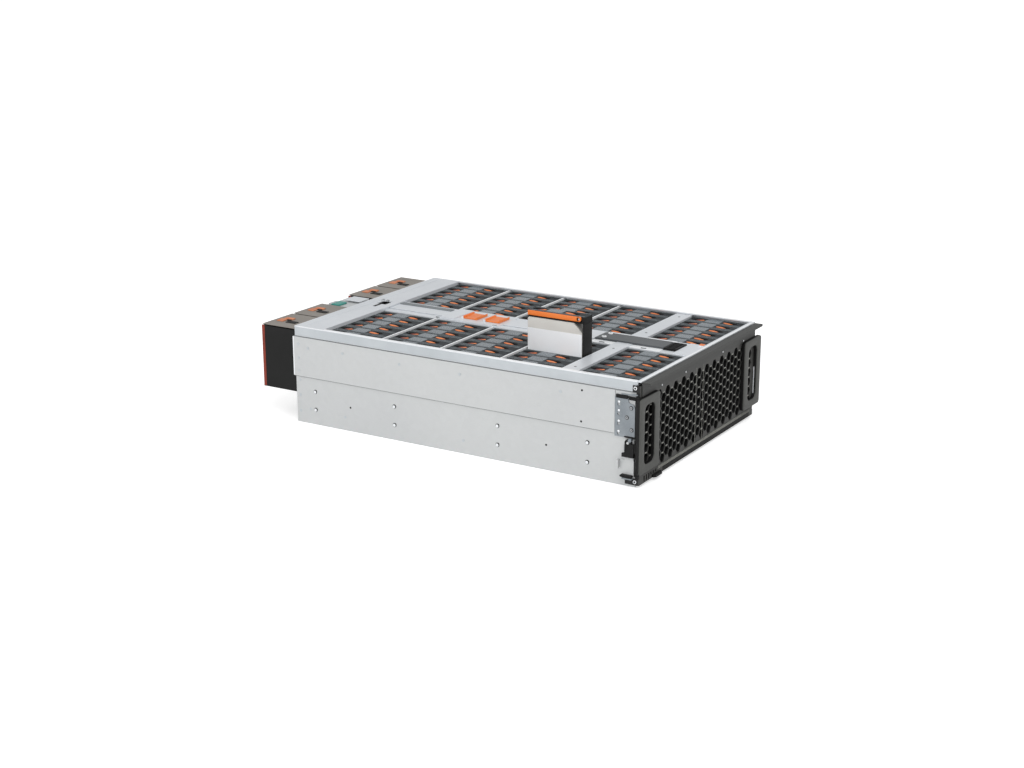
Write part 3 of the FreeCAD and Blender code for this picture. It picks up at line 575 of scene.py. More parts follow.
def dress(node: str, finish: Finishes, edge: float = 0.0) -> None:
    """Give a CAD node its finish, and soften its edges.

    Args:
        node: the node's name.
        finish: its finish.
        edge: radius of its softened edges; none at 0.
    """
    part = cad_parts[node]
    part.data.materials.clear()
    part.data.materials.append(finish.value.material())
    if edge:
        join = part.modifiers.new("join", "WELD")
        join.merge_threshold = 0.01 * MM
        soft = part.modifiers.new("soft", "BEVEL")
        soft.width = edge
        soft.segments = 2
        soft.limit_method = "ANGLE"
        soft.angle_limit = SHARP
        soft.harden_normals = False
    log.info("%s: %s", node, finish.name)


# ---------------------------------------------------------------- drives

@dataclass
class DriveRows:
    """Five rows of drives in two halves, each in a carrier with two finger openings over its lever.

    A patch is a stretch along the carrier that holds one finger opening. The missing drive is given
    by its row, its side and its slot, counted from the left.
    """

    wide: float = 28 * MM
    long: float = 108 * MM
    cap: float = 12 * MM
    strip: float = 3.2 * MM
    edge: float = 0.8 * MM
    lens_half: float = 6.6 * MM
    lens_reach: float = 14 * MM
    well_deep: float = 8 * MM
    lever_shift: tuple[float, float] = (-1.4 * MM, 2.8 * MM)
    lever_slope: float = 4 * MM
    pad: tuple[float, float] = (47 * MM, 76 * MM)
    pad_inset: float = 3.6 * MM
    rib_inset: float = 1.2 * MM
    rib_wide: float = 1 * MM
    rib_clear: float = 2 * MM
    sunk: float = 0.2 * MM
    proud: float = 0.5 * MM
    disk_half: float = 13 * MM
    patches: tuple[tuple[float, float], ...] = ((14 * MM, 45 * MM), (77.5 * MM, 107.2 * MM))
    patch_rows: int = 6
    across: int = 6
    slots: int = 6
    rows: tuple[int, ...] = (1, 2, 3, 4, 5)
    missing: tuple[int, Side, int] = (2, Side.LEFT, 3)

    def cap_shell(self, wide: float) -> tuple[Array, list[tuple[Array, Finishes]]]:
        """The cap: a grid over its top, broken by two lens-shaped wells.

        The grid's border is drawn out by the edge radius and dropped to the cap's underside. Each
        well is a lens set in a square patch of the grid.

        Args:
            wide: the cap's width.

        Returns:
            Points about the carrier's front top middle, and face blocks with their finishes.
        """
        (near, near_end), (far, far_end) = self.patches
        lines = self.patch_rows + 1
        along = np.concatenate([[self.edge], np.linspace(near, near_end, lines),
                                np.linspace(near_end, far, 5)[1:-1], np.linspace(far, far_end, lines)])
        side = np.linspace(-(wide / 2 - self.edge), wide / 2 - self.edge, self.across + 1)
        flat = np.zeros((len(along), len(side)))
        grid = np.stack([*np.meshgrid(side, along), flat], axis=-1).reshape(-1, 3)
        step = self.across + 1
        cell = np.arange(len(along) - 1)[:, None] * step + np.arange(self.across)[None, :]
        keep = np.ones(cell.shape, bool)
        starts = (1, len(along) - lines)
        for start in starts:
            keep[start:start + self.patch_rows] = False
        low = cell[keep]
        points = [grid]
        parts = [(np.stack([low, low + 1, low + 1 + step, low + step], axis=1), Finishes.CARRIER)]
        count = len(grid)
        for start in starts:
            loop = self.border(start, start + self.patch_rows, step)
            rings, blocks = self.well(grid[loop])
            lead = np.concatenate([loop, count + np.arange(rings.shape[0])])
            parts += [(lead[block], finish) for block, finish in blocks]
            points.append(rings)
            count += len(rings)
        loop = self.border(0, len(along) - 1, step)
        outer = grid[loop].copy()
        outer[:, 0] = np.where(np.isclose(np.abs(outer[:, 0]), wide / 2 - self.edge),
                               np.sign(outer[:, 0]) * wide / 2, outer[:, 0])
        outer[:, 1] = np.where(np.isclose(outer[:, 1], self.edge), 0, outer[:, 1])
        outer[:, 1] = np.where(np.isclose(outer[:, 1], self.long - self.edge), self.long, outer[:, 1])
        edge = outer - np.array([0, 0, self.edge])
        foot = outer - np.array([0, 0, self.cap])
        lead = np.concatenate([loop, count + np.arange(2 * len(loop))])
        walls, _, base = skin(np.stack([outer, edge, foot]))[1]
        parts += [(lead[walls[:len(loop)]], Finishes.CARRIER), (lead[walls[len(loop):]], Finishes.BLACK),
                  (lead[base], Finishes.BLACK)]
        points += [edge, foot]
        return np.concatenate(points), parts

    @staticmethod
    def border(first: int, last: int, step: int) -> Array:
        """Number the grid points round a block of its rows, counter-clockwise from the first.

        Args:
            first: the block's first row of points.
            last: its last row of points.
            step: points in each row.

        Returns:
            The numbers of the border's points in order.
        """
        columns = np.arange(step)
        rows = np.arange(first + 1, last)
        return np.concatenate([first * step + columns, rows * step + step - 1,
                               last * step + columns[::-1], rows[::-1] * step])

    def lens(self, turn: Array) -> Array:
        """Points of the finger opening's pointed outline at the given angles."""
        return np.stack([self.lens_half * np.cos(turn) * np.abs(np.cos(turn)) ** 0.2,
                         self.lens_reach * np.sin(turn), np.zeros(len(turn))], axis=1)

    def well(self, border: Array) -> tuple[Array, list[tuple[Array, Finishes]]]:
        """Rings of one finger opening down to its floor, counted on from the border's points; the lower
        wall and the floor are painted black as shade.

        Args:
            border: points of the patch's border.

        Returns:
            New points, and face blocks numbered with the border's points first.
        """
        middle = (border.min(axis=0) + border.max(axis=0)) / 2
        half = (border.max(axis=0) - border.min(axis=0)) / 2
        way = (border - middle)[:, :2] / half[:2]
        outline = self.lens(np.arctan2(way[:, 1], way[:, 0]))
        rings = [middle + outline * share - np.array([0, 0, drop])
                 for share, drop in ((1.0, 0.0), (0.96, 0.6 * MM), (0.94, self.well_deep))]
        hub = middle - np.array([0, 0, self.well_deep])
        count = len(border)
        bands = skin(np.stack([border, *rings]))[1][0].reshape(len(rings), count, 4)
        last = len(rings) * count
        here = np.arange(count)
        fan = np.stack([last + here, last + (here + 1) % count, np.full(count, last + count)], axis=1)
        # the well's lower wall and floor are painted black as shade
        parts = [(bands[:2].reshape(-1, 4), Finishes.CARRIER), (bands[2], Finishes.BLACK),
                 (fan, Finishes.BLACK)]
        return np.concatenate([*rings, hub[None, :]]), parts

    def tongue(self, middle: float, way: int, bright: float) -> tuple[Array, list[tuple[Array, Finishes]]]:
        """One rounded end of the lever inside a finger opening; it slopes down away from its high end.

        Args:
            middle: the opening's middle along the carrier.
            way: 1 where the high end is the rear one, -1 where it is the front one.
            bright: faces beyond this share of the reach towards the high end are painted orange as lit; the
                rest get the red-brown of painted shade.

        Returns:
            Points and face blocks with their finishes.
        """
        outline = self.lens(np.arange(14) * math.pi / 7)
        centre = np.array([self.lever_shift[0], middle + way * self.lever_shift[1], 0])
        rings = []
        for share, drop in ((0.76, self.well_deep), (0.8, 0.2 * MM), (0.74, -0.9 * MM), (0.48, -1.6 * MM)):
            ring = centre + outline * share
            slope = self.lever_slope * (1 - way * outline[:, 1] * share / self.lens_reach) / 2
            ring[:, 2] = -drop - (slope if drop < self.well_deep else 0.0)
            rings.append(ring)
        points, (bands, foot, top) = skin(np.stack(rings))
        level = way * (points[bands][:, :, 1].mean(axis=1) - middle) / self.lens_reach
        # orange on the lit faces and red-brown on the others: painted light and shade on one orange lever
        return points, [(bands[level > bright], Finishes.ORANGE), (bands[level <= bright], Finishes.RED),
                        (foot, Finishes.RED), (top, Finishes.ORANGE if way > 0 else Finishes.RED)]

    def cap_pile(self, wide: float, shift: float = 0.0, drop: float = 0.0) -> Pile:
        """The cap with its two lever ends, its pad and two low ribs.

        Args:
            wide: the cap's width.
            shift: how far its middle lies to the right.
            drop: how far its top lies below the carrier's highest point.

        Returns:
            The pile about the carrier's front top middle.
        """
        pile = Pile()
        pile.add_parts(*self.cap_shell(wide))
        for (near, far), way, bright in zip(self.patches, (1, -1), (-0.55, 0.15)):
            pile.add_parts(*self.tongue((near + far) / 2, way, bright))
        reach = wide / 2 - self.pad_inset
        pile.add(soft_block((-reach, self.pad[0], -self.sunk), (reach, self.pad[1], self.proud),
                            1.5 * MM, 0.3 * MM, steps=2), Finishes.PAD)
        for edge in (-wide / 2 + self.rib_inset, wide / 2 - self.rib_inset - self.rib_wide):
            pile.add(soft_block((edge, self.rib_clear, -self.sunk),
                                (edge + self.rib_wide, self.long - self.rib_clear, self.proud),
                                0.3 * MM, 0.3 * MM, steps=2), Finishes.RIB_HIGHLIGHT)
        for points in pile.points:
            points += np.array([shift, 0, -drop])
        return pile

    def unit(self, high: float) -> Pile:
        """One seated drive: its cap, two end strips and the disk between them.

        Args:
            high: height of the cap's top above the bay's floor.

        Returns:
            The pile about the carrier's front top middle.
        """
        pile = self.cap_pile(self.wide)
        half = self.wide / 2
        for start in (0, self.long - self.strip):
            pile.add(soft_block((-half, start, -high), (half, start + self.strip, -self.cap), steps=2),
                     Finishes.CARRIER)
        pile.add(soft_block((-self.disk_half, self.strip, -high),
                            (self.disk_half, self.long - self.strip, -self.cap), steps=2), Finishes.CAST)
        return pile

    def build(self) -> None:
        """Make one piece for each half row in place of its CAD node."""
        for row in self.rows:
            for side in Side:
                node = f"drives_row{row}_{side.word}"
                low, high = corners(node)
                pitch = (high[0] - low[0] - self.wide) / (self.slots - 1)
                places = [(low[0] + self.wide / 2 + slot * pitch, low[1], high[2])
                          for slot in range(self.slots)]
                if (row, side) == self.missing[:2]:
                    places.pop(self.missing[2])
                bank = self.unit(high[2] - low[2]).repeated(np.array(places))
                bank.piece(f"carriers_row{row}_{side.word}", instead=(node,))


@dataclass
class RaisedDrive:
    """The drive that stands proud of its row: cast body, bare label, black carrier, orange lever."""

    rows: DriveRows
    groove: float = 3.4 * MM
    groove_deep: float = 10.2 * MM
    front: float = 4.5 * MM
    drop: float = 0.8 * MM
    cut: float = 17 * MM
    rear_cut: float = 3 * MM
    cover: float = 1.2 * MM
    eye: float = 4.2 * MM
    pin: float = 1.6 * MM

    def carrier(self) -> None:
        """Carrier with a groove along its left edge for the lever, and its black front end."""
        low, high = corners("lifted_carrier")
        middle = np.array([(low[0] + high[0]) / 2, low[1], high[2]])
        half, long, cap, strip = self.rows.wide / 2, self.rows.long, self.rows.cap, self.rows.strip
        inner, foot = -half + self.groove, low[2] - high[2]
        pile = self.rows.cap_pile(self.rows.wide - self.groove, self.groove / 2, self.drop)
        blocks = (((-half, 0, -cap), (inner, self.front, -0.6 * MM)),
                  ((-half + 0.4 * MM, self.front, -cap), (inner, long - 0.5 * MM, -self.groove_deep)),
                  ((-half, 0, foot), (half, strip, -cap)),
                  ((-half + 2 * MM, long - strip, foot), (half, long, -cap)))
        for start, end in blocks:
            pile.add(soft_block(start, end), Finishes.BLACK)
        pile.repeated(middle[None, :]).piece("raised_carrier", "lifted_drive", instead=("lifted_carrier",))

    def lever(self) -> None:
        """Lever along the carrier's left edge: a bar with a round eye on a bright pin."""
        low, high = corners("lifted_lever")
        end = corners("lifted_carrier")[1][1]
        start = low + np.array([-0.2 * MM, self.eye, -0.2 * MM])
        pile = Pile()
        pile.add(soft_block(start, (high[0], end - 0.6 * MM, high[2] - 0.6 * MM), 0.6 * MM, 0.5 * MM, 1),
                 Finishes.ORANGE)
        centre = (start[0], start[1], high[2] - self.eye)
        eye = np.array([(self.eye, 0), (self.eye, 2.6 * MM), (self.eye - 0.3 * MM, 2.8 * MM)])
        pin = np.array([(self.pin, -0.1 * MM), (self.pin, 2.9 * MM), (self.pin - 0.4 * MM, 3 * MM)])
        pile.add(turned(eye, centre, 0), Finishes.ORANGE)
        pile.add(turned(pin, centre, 0), Finishes.STEEL)
        pile.piece("raised_lever", "lifted_lever", instead=("lifted_lever",))

    def disk(self) -> None:
        """Cast disk body with two cut corners, its cover's step and a bare label on the left side."""
        low, high = corners("lifted_disk")
        rear = corners("lifted_carrier")[1][1] - 0.4 * MM
        left = corners("lifted_carrier")[0][0] + 0.3 * MM
        outline = np.array([(low[1], low[2]), (rear, low[2]), (rear, high[2] - self.rear_cut),
                            (rear - self.rear_cut, high[2]), (low[1] + self.cut, high[2]),
                            (low[1], high[2] - self.cut)])
        middle = (outline.min(axis=0) + outline.max(axis=0)) / 2
        centre = np.array([0, *middle])
        pile = Pile()
        for start, end, draw in ((left + self.cover, high[0] - self.cover, 0),
                                 (left, left + self.cover, 0.5 * MM),
                                 (high[0] - self.cover, high[0], 1.5 * MM)):
            rings = stack(outline - middle, np.array([start, end]), np.full(2, draw), 0, centre)
            pile.add(skin(rings), Finishes.CAST)
        pile.add(soft_block((left - 0.25 * MM, low[1] + 0.8 * MM, low[2] + 6 * MM),
                            (left + 0.1 * MM, rear - 0.8 * MM, high[2] - 18.5 * MM),
                            0.6 * MM, 0.05 * MM, 0), Finishes.LABEL)
        pile.piece("raised_disk", "lifted_drive", instead=("lifted_disk",))

    def build(self) -> None:
        """Make the carrier, the disk and the lever."""
        self.carrier()
        self.disk()
        self.lever()


# ---------------------------------------------------------------- shelf body

@dataclass
class ShelfBody:
    """Sheet-metal body with its rims, deck, dividers, joint lines, rivets and side screws.

    Places are in millimetres: out from the middle, behind the bezel's face, and above the floor.
    Dimples and pinholes have a place behind the bezel's face, a height, and how far the sheet
    stands out there.
    """

    sheets: tuple[str, ...] = ("floor_pan", "side_wall_left", "side_wall_right", "upper_panel_left",
                               "upper_panel_right", "mid_wall", "rear_wall")
    tops: tuple[str, ...] = ("rim_left", "rim_right", "front_rail", "rear_deck", "cross_bar")
    edges: tuple[str, ...] = ("row_divider_1", "row_divider_2", "row_divider_3")
    half: float = 220
    screw_depths: tuple[float, ...] = (94, 263, 470, 639)
    screw_heights: tuple[float, ...] = (27, 60)
    dimples: tuple[tuple[float, float, float], ...] = (
        (651, 138, 1.5), (576, 139, 1.5), (457, 137, 1.5), (335, 138, 1.5), (143, 138, 1.5),
        (672, 143, 1.5), (672, 118, 1.5), (672, 95, 1.5), (672, 78, 0), (672, 50, 0), (672, 21, 0),
        (650, 27, 0), (575, 24, 0), (330, 23, 0))
    pinholes: tuple[tuple[float, float, float], ...] = (
        (563, 43, 0), (170, 43, 0), (104, 146, 1.5), (105, 94, 1.5))
    # the near-white rows are painted highlights along the folds and the panel's rear edge
    plates: tuple[tuple, ...] = (
        (Finishes.SKIRT, 0.8, (219.6, 220.12), (8.2, 680), (158.2, 173.4)),  # band above the upper panel
        (Finishes.EDGE, 0.3, (213.2, 220.2), (8, 618), (173.6, 175.15)),  # fold along the rim
        (Finishes.EDGE, 0.3, (218.6, 220.2), (618, 680), (173.6, 175.15)),  # fold along the deck
        (Finishes.SEAM, 0.8, (219.5, 221.3), (8, 682), (156.0, 157.4)),  # joint over the upper panel
        (Finishes.SEAM, 0.8, (219.5, 221.2), (45, 682), (84.1, 85.0)),  # joint under the upper panel
        (Finishes.EDGE, 0.8, (220.1, 221.7), (681.5, 684), (85.4, 155.6)))  # the panel's rear edge

    def screws(self, pile: Pile, sign: int) -> None:
        """Screw heads in the rail holes, each on a grey disc and an offset black disc painted as the shade
        of its recess.

        Args:
            pile: the pile that gets them.
            sign: -1 on the left and 1 on the right.
        """
        for depth in self.screw_depths:
            for height in self.screw_heights:
                recess = disc(sign * (self.half - 0.1), depth, height, 0, 4.0, sign * 0.3)
                shade = disc(sign * (self.half + 0.1), depth - 0.7, height + 0.7, 0, 3.2, sign * 0.4)
                place = (sign * (self.half + 0.2) * MM, FRONT + (depth + 0.4) * MM, (height - 0.4) * MM)
                # the grey disc and the offset black crescent are painted shade; the head is painted
                # near-white as a highlight
                pile.add(recess, Finishes.SEAM)
                pile.add(shade, Finishes.BLACK)
                pile.add(screw_head(place, 0, 2.7 * MM, sign * 1.1 * MM), Finishes.EDGE)

    def side(self, side: Side) -> None:
        """Joint lines, bright edges, rivets, holes and screws of one side.

        Args:
            side: the side that gets them.
        """
        sign = side.value
        face = self.half - 0.1
        pile = Pile()
        for finish, corner, x, depth, z in self.plates:
            pile.add(plate((sign * x[0], sign * x[1]), depth, z, corner), finish)
        for depth, height, proud in self.dimples:
            pile.add(disc(sign * (face + proud), depth, height, 0, 2.6, sign * 0.6), Finishes.SKIRT)
        for depth, height, proud in self.pinholes:
            pile.add(disc(sign * (face + proud), depth, height, 0, 1.9, sign * 0.2, 10), Finishes.BLACK)
        self.screws(pile, sign)
        pile.piece(f"side_details_{side.word}")

    def build(self) -> None:
        """Dress the sheets and add the details of both sides."""
        for node in self.sheets:
            dress(node, Finishes.SHEET)
        # the rims, rail, deck and bar get the zinc painted lighter as painted light from above
        for node in self.tops:
            dress(node, Finishes.LIT_TOP_SHEET)
        # the dividers are painted near-white as highlights
        for node in self.edges:
            dress(node, Finishes.EDGE)
        dress("base_board", Finishes.BOARD)
        for side in Side:
            self.side(side)


@dataclass
class CentreChannel:
    """The channel down the middle with its covers, vent, knobs and two orange levers.

    Places are in millimetres: along X, behind the bezel's face, and above the floor.
    """

    top: float = 175
    knobs: tuple[tuple[float, float], ...] = ((-11, 178), (13, 178))
    deck_screws: tuple[tuple[float, float], ...] = ((14, 656), (13, 645))
    # the near-white plates beside the cover are painted highlights; the black arm is painted shade standing
    # for the deck's latch slot
    plates: tuple[tuple, ...] = (
        (Finishes.ORANGE, (24.3, 33.7), (9.3, 17.7), (174.8, 175.7)),  # tab on the front plate
        (Finishes.STRIP, (12, 25), (505, 617), (172.8, 174.2)),  # guide strip
        (Finishes.BLACK, (-33, -13), (641, 647), (174.9, 175.15)),  # arm of the deck's latch slot
        (Finishes.EDGE, (-36.5, -19.6), (62, 118), (171.3, 172.3)),  # bright sheet beside the cover
        (Finishes.EDGE, (-36.5, -19.6), (150, 192), (171.3, 172.3)),
        (Finishes.EDGE, (21.6, 36.5), (62, 118), (171.3, 172.3)),
        (Finishes.EDGE, (21.6, 36.5), (150, 192), (171.3, 172.3)))
    notches: tuple[float, ...] = (92, 171, 266, 384.5, 503)
    bar_depth: float = 134
    bar_dimples: tuple[float, ...] = (-190, -60, 60, 190)

    def build(self) -> None:
        """Dress the channel's pieces and add its knobs, screws, notches, strip and tab."""
        # the channel's top pieces get the zinc painted lighter as painted light from above
        for node in ("centre_channel", "channel_plate", "channel_cover_rear"):
            dress(node, Finishes.LIT_TOP_SHEET)
        dress("channel_cover_front", Finishes.COVER, 0.4 * MM)
        dress("vent_grille", Finishes.BLACK)
        for number in (1, 2):
            dress(f"channel_lever_{number}", Finishes.ORANGE, 0.4 * MM)
        pile = Pile()
        for x, depth in self.knobs:
            pile.add(disc(x, depth, self.top + 0.3, 2, 5.2, 0.4), Finishes.BLACK)
            pile.add(disc(x, depth, self.top + 0.5, 2, 4.4, 2.0), Finishes.EDGE)
            pile.add(disc(x, depth, self.top + 2.4, 2, 1.6, 0.3, 10), Finishes.SEAM)
        for x, depth in self.deck_screws:
            pile.add(disc(x, depth, self.top - 0.1, 2, 3.6, 1.6), Finishes.STEEL)
            pile.add(disc(x, depth, self.top + 1.4, 2, 1.8, 0.3, 10), Finishes.BLACK)
        for finish, x, depth, z in self.plates:
            pile.add(plate(x, depth, z), finish)
        for depth in self.notches:
            pile.add(plate((-34, -31), (depth - 5, depth + 5), (172.2, 173.3)), Finishes.SEAM)
        for x in self.bar_dimples:
            pile.add(disc(x, self.bar_depth, 172.9, 2, 2.2, 0.4), Finishes.SEAM)
        pile.piece("channel_details")


# ---------------------------------------------------------------- front

@dataclass
class Front:
    """Honeycomb bezel, its lip, the loop handles, the ribbed lower band and the pull tab.

    The mesh's pitch, its foot and the places of screws, joints and ribs along X are in millimetres.
    """

    corner: float = 5 * MM
    slot_corner: float = 11 * MM
    soft: float = 1.6 * MM
    reach: tuple[float, float] = (165 * MM, 234 * MM)
    slot: tuple[float, float] = (36 * MM, 98 * MM)
    slot_middle: tuple[float, float] = (200 * MM, 87 * MM)
    handle_painted_cell_shade: float = 7 * MM
    pitch: float = 17.0
    columns: int = 28
    rows: int = 7
    mesh_low: float = 20.0
    pad_half: tuple[float, float] = (2.6 * MM, 1.1 * MM)
    pad_drop: float = 0.8
    rib_run: tuple[int, int, int] = (-154, 204, 5)
    rib_band: tuple[float, float] = (13.2 * MM, 18 * MM)
    rib_half: float = 0.8 * MM
    rib_lean: float = 0.9
    lip_screws: tuple[float, ...] = (-150, -63, 81, 167)
    mesh_joints: tuple[float, ...] = (-19, 8)

    def handle(self, side: Side) -> None:
        """Loop handle: a rounded profile carried round the frame between its outline and its slot.

        Each station runs from the outline's back edge round to the front face and into the slot,
        with a quarter circle at both front edges.

        Args:
            side: the side that gets it.
        """
        low, high = corners(f"handle_{side.word}")
        sign = side.value
        front, back = low[1], low[1] + self.handle_painted_cell_shade
        inner, outer = self.reach
        middle = np.array([sign * (inner + outer) / 2, 0, (low[2] + high[2]) / 2])
        frame_outline = rounded_outline(outer - inner, high[2] - low[2], self.corner, 5)
        slot_outline = rounded_outline(*self.slot, self.slot_corner, 5)
        slot_outline += np.array([sign * self.slot_middle[0] - middle[0], self.slot_middle[1] - middle[2]])
        inward = slot_outline - frame_outline
        inward /= np.linalg.norm(inward, axis=1, keepdims=True)
        turn = np.linspace(0, math.pi / 2, 4)
        drawn = self.soft * (1 - np.cos(turn))
        sunk = self.soft * (1 - np.sin(turn))
        rings = [(frame_outline, back)]
        rings += [(frame_outline + inward * draw, front + sink) for draw, sink in zip(drawn, sunk)]
        rings += [(slot_outline - inward * draw, front + sink)
                  for draw, sink in zip(drawn[::-1], sunk[::-1])]
        rings.append((slot_outline, back))
        outlines = np.array([flat for flat, _ in rings])
        stations = np.empty((*outlines.shape[:2], 3))
        stations[:, :, 0] = outlines[:, :, 0] + middle[0]
        stations[:, :, 1] = np.array([place for _, place in rings])[:, None]
        stations[:, :, 2] = outlines[:, :, 1] + middle[2]
        pile = Pile()
        points, (bands,) = skin(stations, ends=False)
        around = len(frame_outline)
        # the outer walls and the slot's walls are painted black as shade; the front face keeps the handle's
        # grey
        pile.add_parts(points, [(bands[:around], Finishes.BLACK),
                                (bands[around:-2 * around], Finishes.HANDLE),
                                (bands[-2 * around:], Finishes.BLACK)])
        height = (low[2] / MM + 4, high[2] / MM - 4)
        # two black plates painted as the shade in the gaps beside the handle and under the lip
        pile.add(plate((sign * 220.2, sign * 231), (-1, 3), height), Finishes.BLACK)
        pile.add(plate((sign * 220, sign * 222), (-1, 43), (146.2, 149)), Finishes.BLACK)
        pile.piece(f"loop_handle_{side.word}", instead=(f"handle_{side.word}",))

    def web_highlights(self) -> None:
        """A small pale pad on each short web between two stacked cells, painted as a highlight."""
        stride = self.pitch * math.sqrt(3) / 2
        places = []
        for column in range(self.columns):
            odd = column % 2
            x = (column - (self.columns - 1) / 2) * stride
            foot = self.mesh_low + odd * self.pitch / 2 - self.pad_drop
            places += [(x, 0, foot + row * self.pitch) for row in range(1, self.rows + 1 - odd)]
        pad = Pile()
        wide, high = self.pad_half
        pad.add(soft_block((-wide, FRONT - 0.3 * MM, -high), (wide, FRONT + 0.1 * MM, high),
                           0.5 * MM, 0.1 * MM, 1, 2), Finishes.WEB_HIGHLIGHT)
        pad.repeated(np.array(places) * MM).piece("bezel_web_highlights")

    def lower_band(self) -> None:
        """Ribbed light strip over a dark one, along the bezel's foot; each rib leans as it rises."""
        pile = Pile()
        pile.add(plate((-138, 206), (-0.3, 0.1), (4.4, 12.6)), Finishes.BLACK)
        pile.add(plate((-158, 206), (-0.4, 0.1), (13.0, 18.2)), Finishes.HANDLE)
        pile.piece("bezel_lower_strips")
        rib = Pile()
        foot, top = self.rib_band
        points, blocks = soft_block((-self.rib_half, FRONT - 1.1 * MM, foot), (self.rib_half, FRONT, top),
                                    0.3 * MM, 0.2 * MM, 1, 2)
        points[:, 0] += (points[:, 2] - (foot + top) / 2) * self.rib_lean
        # the ribs are painted pale as highlights
        rib.add((points, blocks), Finishes.WEB_HIGHLIGHT)
        rib.repeated(np.array([(x * MM, 0, 0) for x in range(*self.rib_run)])).piece("bezel_ribs")

    def build(self) -> None:
        """Dress the bezel and its lip, and make the handles, bands and screws."""
        dress("bezel", Finishes.BEZEL)
        dress("bezel_lip", Finishes.LIP, 0.3 * MM)
        dress("pull_tab", Finishes.BLACK, 0.5 * MM)
        for side in Side:
            self.handle(side)
        self.web_highlights()
        self.lower_band()
        pile = Pile()
        for x in self.lip_screws:
            head = screw_head((x * MM, FRONT - 1.5 * MM, 153 * MM), 1, 1.6 * MM, -0.8 * MM)
            pile.add(disc(x, -1.4, 153, 1, 2.2, -0.3), Finishes.BLACK)
            pile.add(head, Finishes.EDGE)
        # the bright fold behind the lip and a bright strip in the right slot, both painted highlights, and
        # two joints in the mesh
        pile.add(plate((-219.4, 219.4), (0.2, 5), (174, 175.15), 0.3), Finishes.EDGE)
        for x in self.mesh_joints:
            pile.add(plate((x - 0.4, x + 0.4), (-0.4, 0.1), (self.mesh_low, 149)), Finishes.WEB_HIGHLIGHT)
        pile.add(plate((217.3, 218.2), (-2.4, -0.7), (43, 94)), Finishes.EDGE)
        pile.piece("bezel_details")


@dataclass
class FrontCorners:
    """Zinc ear brackets, rail latches, hook plates and their screws on both sides.

    Screws, holes and rings have a place behind the bezel's face and a height, in millimetres. A row
    of black or zinc plates holds two ends along X, two behind the bezel's face and two heights. A
    step of a screw holds how far it stands out from the bracket's face, its radius and its height.
    """

    face: float = 222
    # the grey and black rings under each screw head are painted shade
    screw_steps: tuple[tuple[Finishes, float, float, float], ...] = (
        (Finishes.SEAM, -0.1, 3.8, 0.3), (Finishes.BLACK, 0.1, 3.2, 0.5), (Finishes.STEEL, 0.3, 2.5, 1.0))
    screws: tuple[tuple[float, float], ...] = ((15.4, 130.5), (23, 114), (14.2, 94.5))
    holes: tuple[float, ...] = (138, 123.8, 106.6, 89.5)
    rings: tuple[tuple[float, float], ...] = ((9.4, 163.5), (7.5, 9.3))
    black: tuple[tuple[float, ...], ...] = (
        (220, 223, 22, 43, 144, 150), (220, 224, 6, 20, 143.6, 147), (222, 226, 4, 17, 57, 73),
        (220, 224, 7, 27, 81, 83.4), (221, 229.2, 10, 31, 16.4, 20.4), (221.4, 222.6, 0.4, 8.6, 18, 150))
    zinc: tuple[tuple[float, ...], ...] = (
        (221, 224, 4, 16, 152, 154.2), (220.4, 221.6, 8, 34, 150.4, 152.4), (220, 223, 18, 27, 58, 68),
        (221, 226, 7, 12, 58, 70), (220.4, 229.2, 10, 28, 13.6, 15.8))

    def corner(self, side: Side) -> None:
        """Brackets, latch pieces, holes and screws of one corner.

        Args:
            side: the corner's side.
        """
        sign, face = side.value, self.face
        dress(f"ear_bracket_{side.word}", Finishes.ZINC)
        dress(f"hook_plate_{side.word}", Finishes.SHEET)
        dress(f"rail_latch_{side.word}", Finishes.BLACK, 0.4 * MM)
        pile = Pile()
        for finish, plates in ((Finishes.BLACK, self.black), (Finishes.ZINC, self.zinc)):
            for low, high, near, far, foot, top in plates:
                pile.add(plate((sign * low, sign * high), (near, far), (foot, top)), finish)
        for depth, height in self.screws:
            for finish, rise, radius, high in self.screw_steps:
                pile.add(disc(sign * (face + rise), depth, height, 0, radius, sign * high), finish)
            recess = plate((sign * (face + 1.1), sign * (face + 1.4)), (depth - 0.9, depth + 0.9),
                           (height - 0.9, height + 0.9))
            pile.add(recess, Finishes.BLACK)
        for height in self.holes:
            # an offset grey disc of painted shade sits beside the near-white disc of each hole
            pile.add(disc(sign * (face - 0.1), 37, height + 0.6, 0, 2.5, sign * 0.2), Finishes.SEAM)
            pile.add(disc(sign * face, 37.2, height, 0, 2.0, sign * 0.3), Finishes.EDGE)
        for depth, height in self.rings:
            pile.add(disc(sign * (face - 0.5), depth, height, 0, 3.0, sign * 0.6), Finishes.EDGE)
            pile.add(disc(sign * face, depth, height, 0, 1.7, sign * 0.3), Finishes.BLACK)
        pile.add(disc(sign * face, 15, 78.5, 0, 3.4, sign * 5.2), Finishes.ZINC)
        pile.piece(f"corner_details_{side.word}")

    def build(self) -> None:
        """Dress and detail both corners."""
        for side in Side:
            self.corner(side)


# ---------------------------------------------------------------- rear

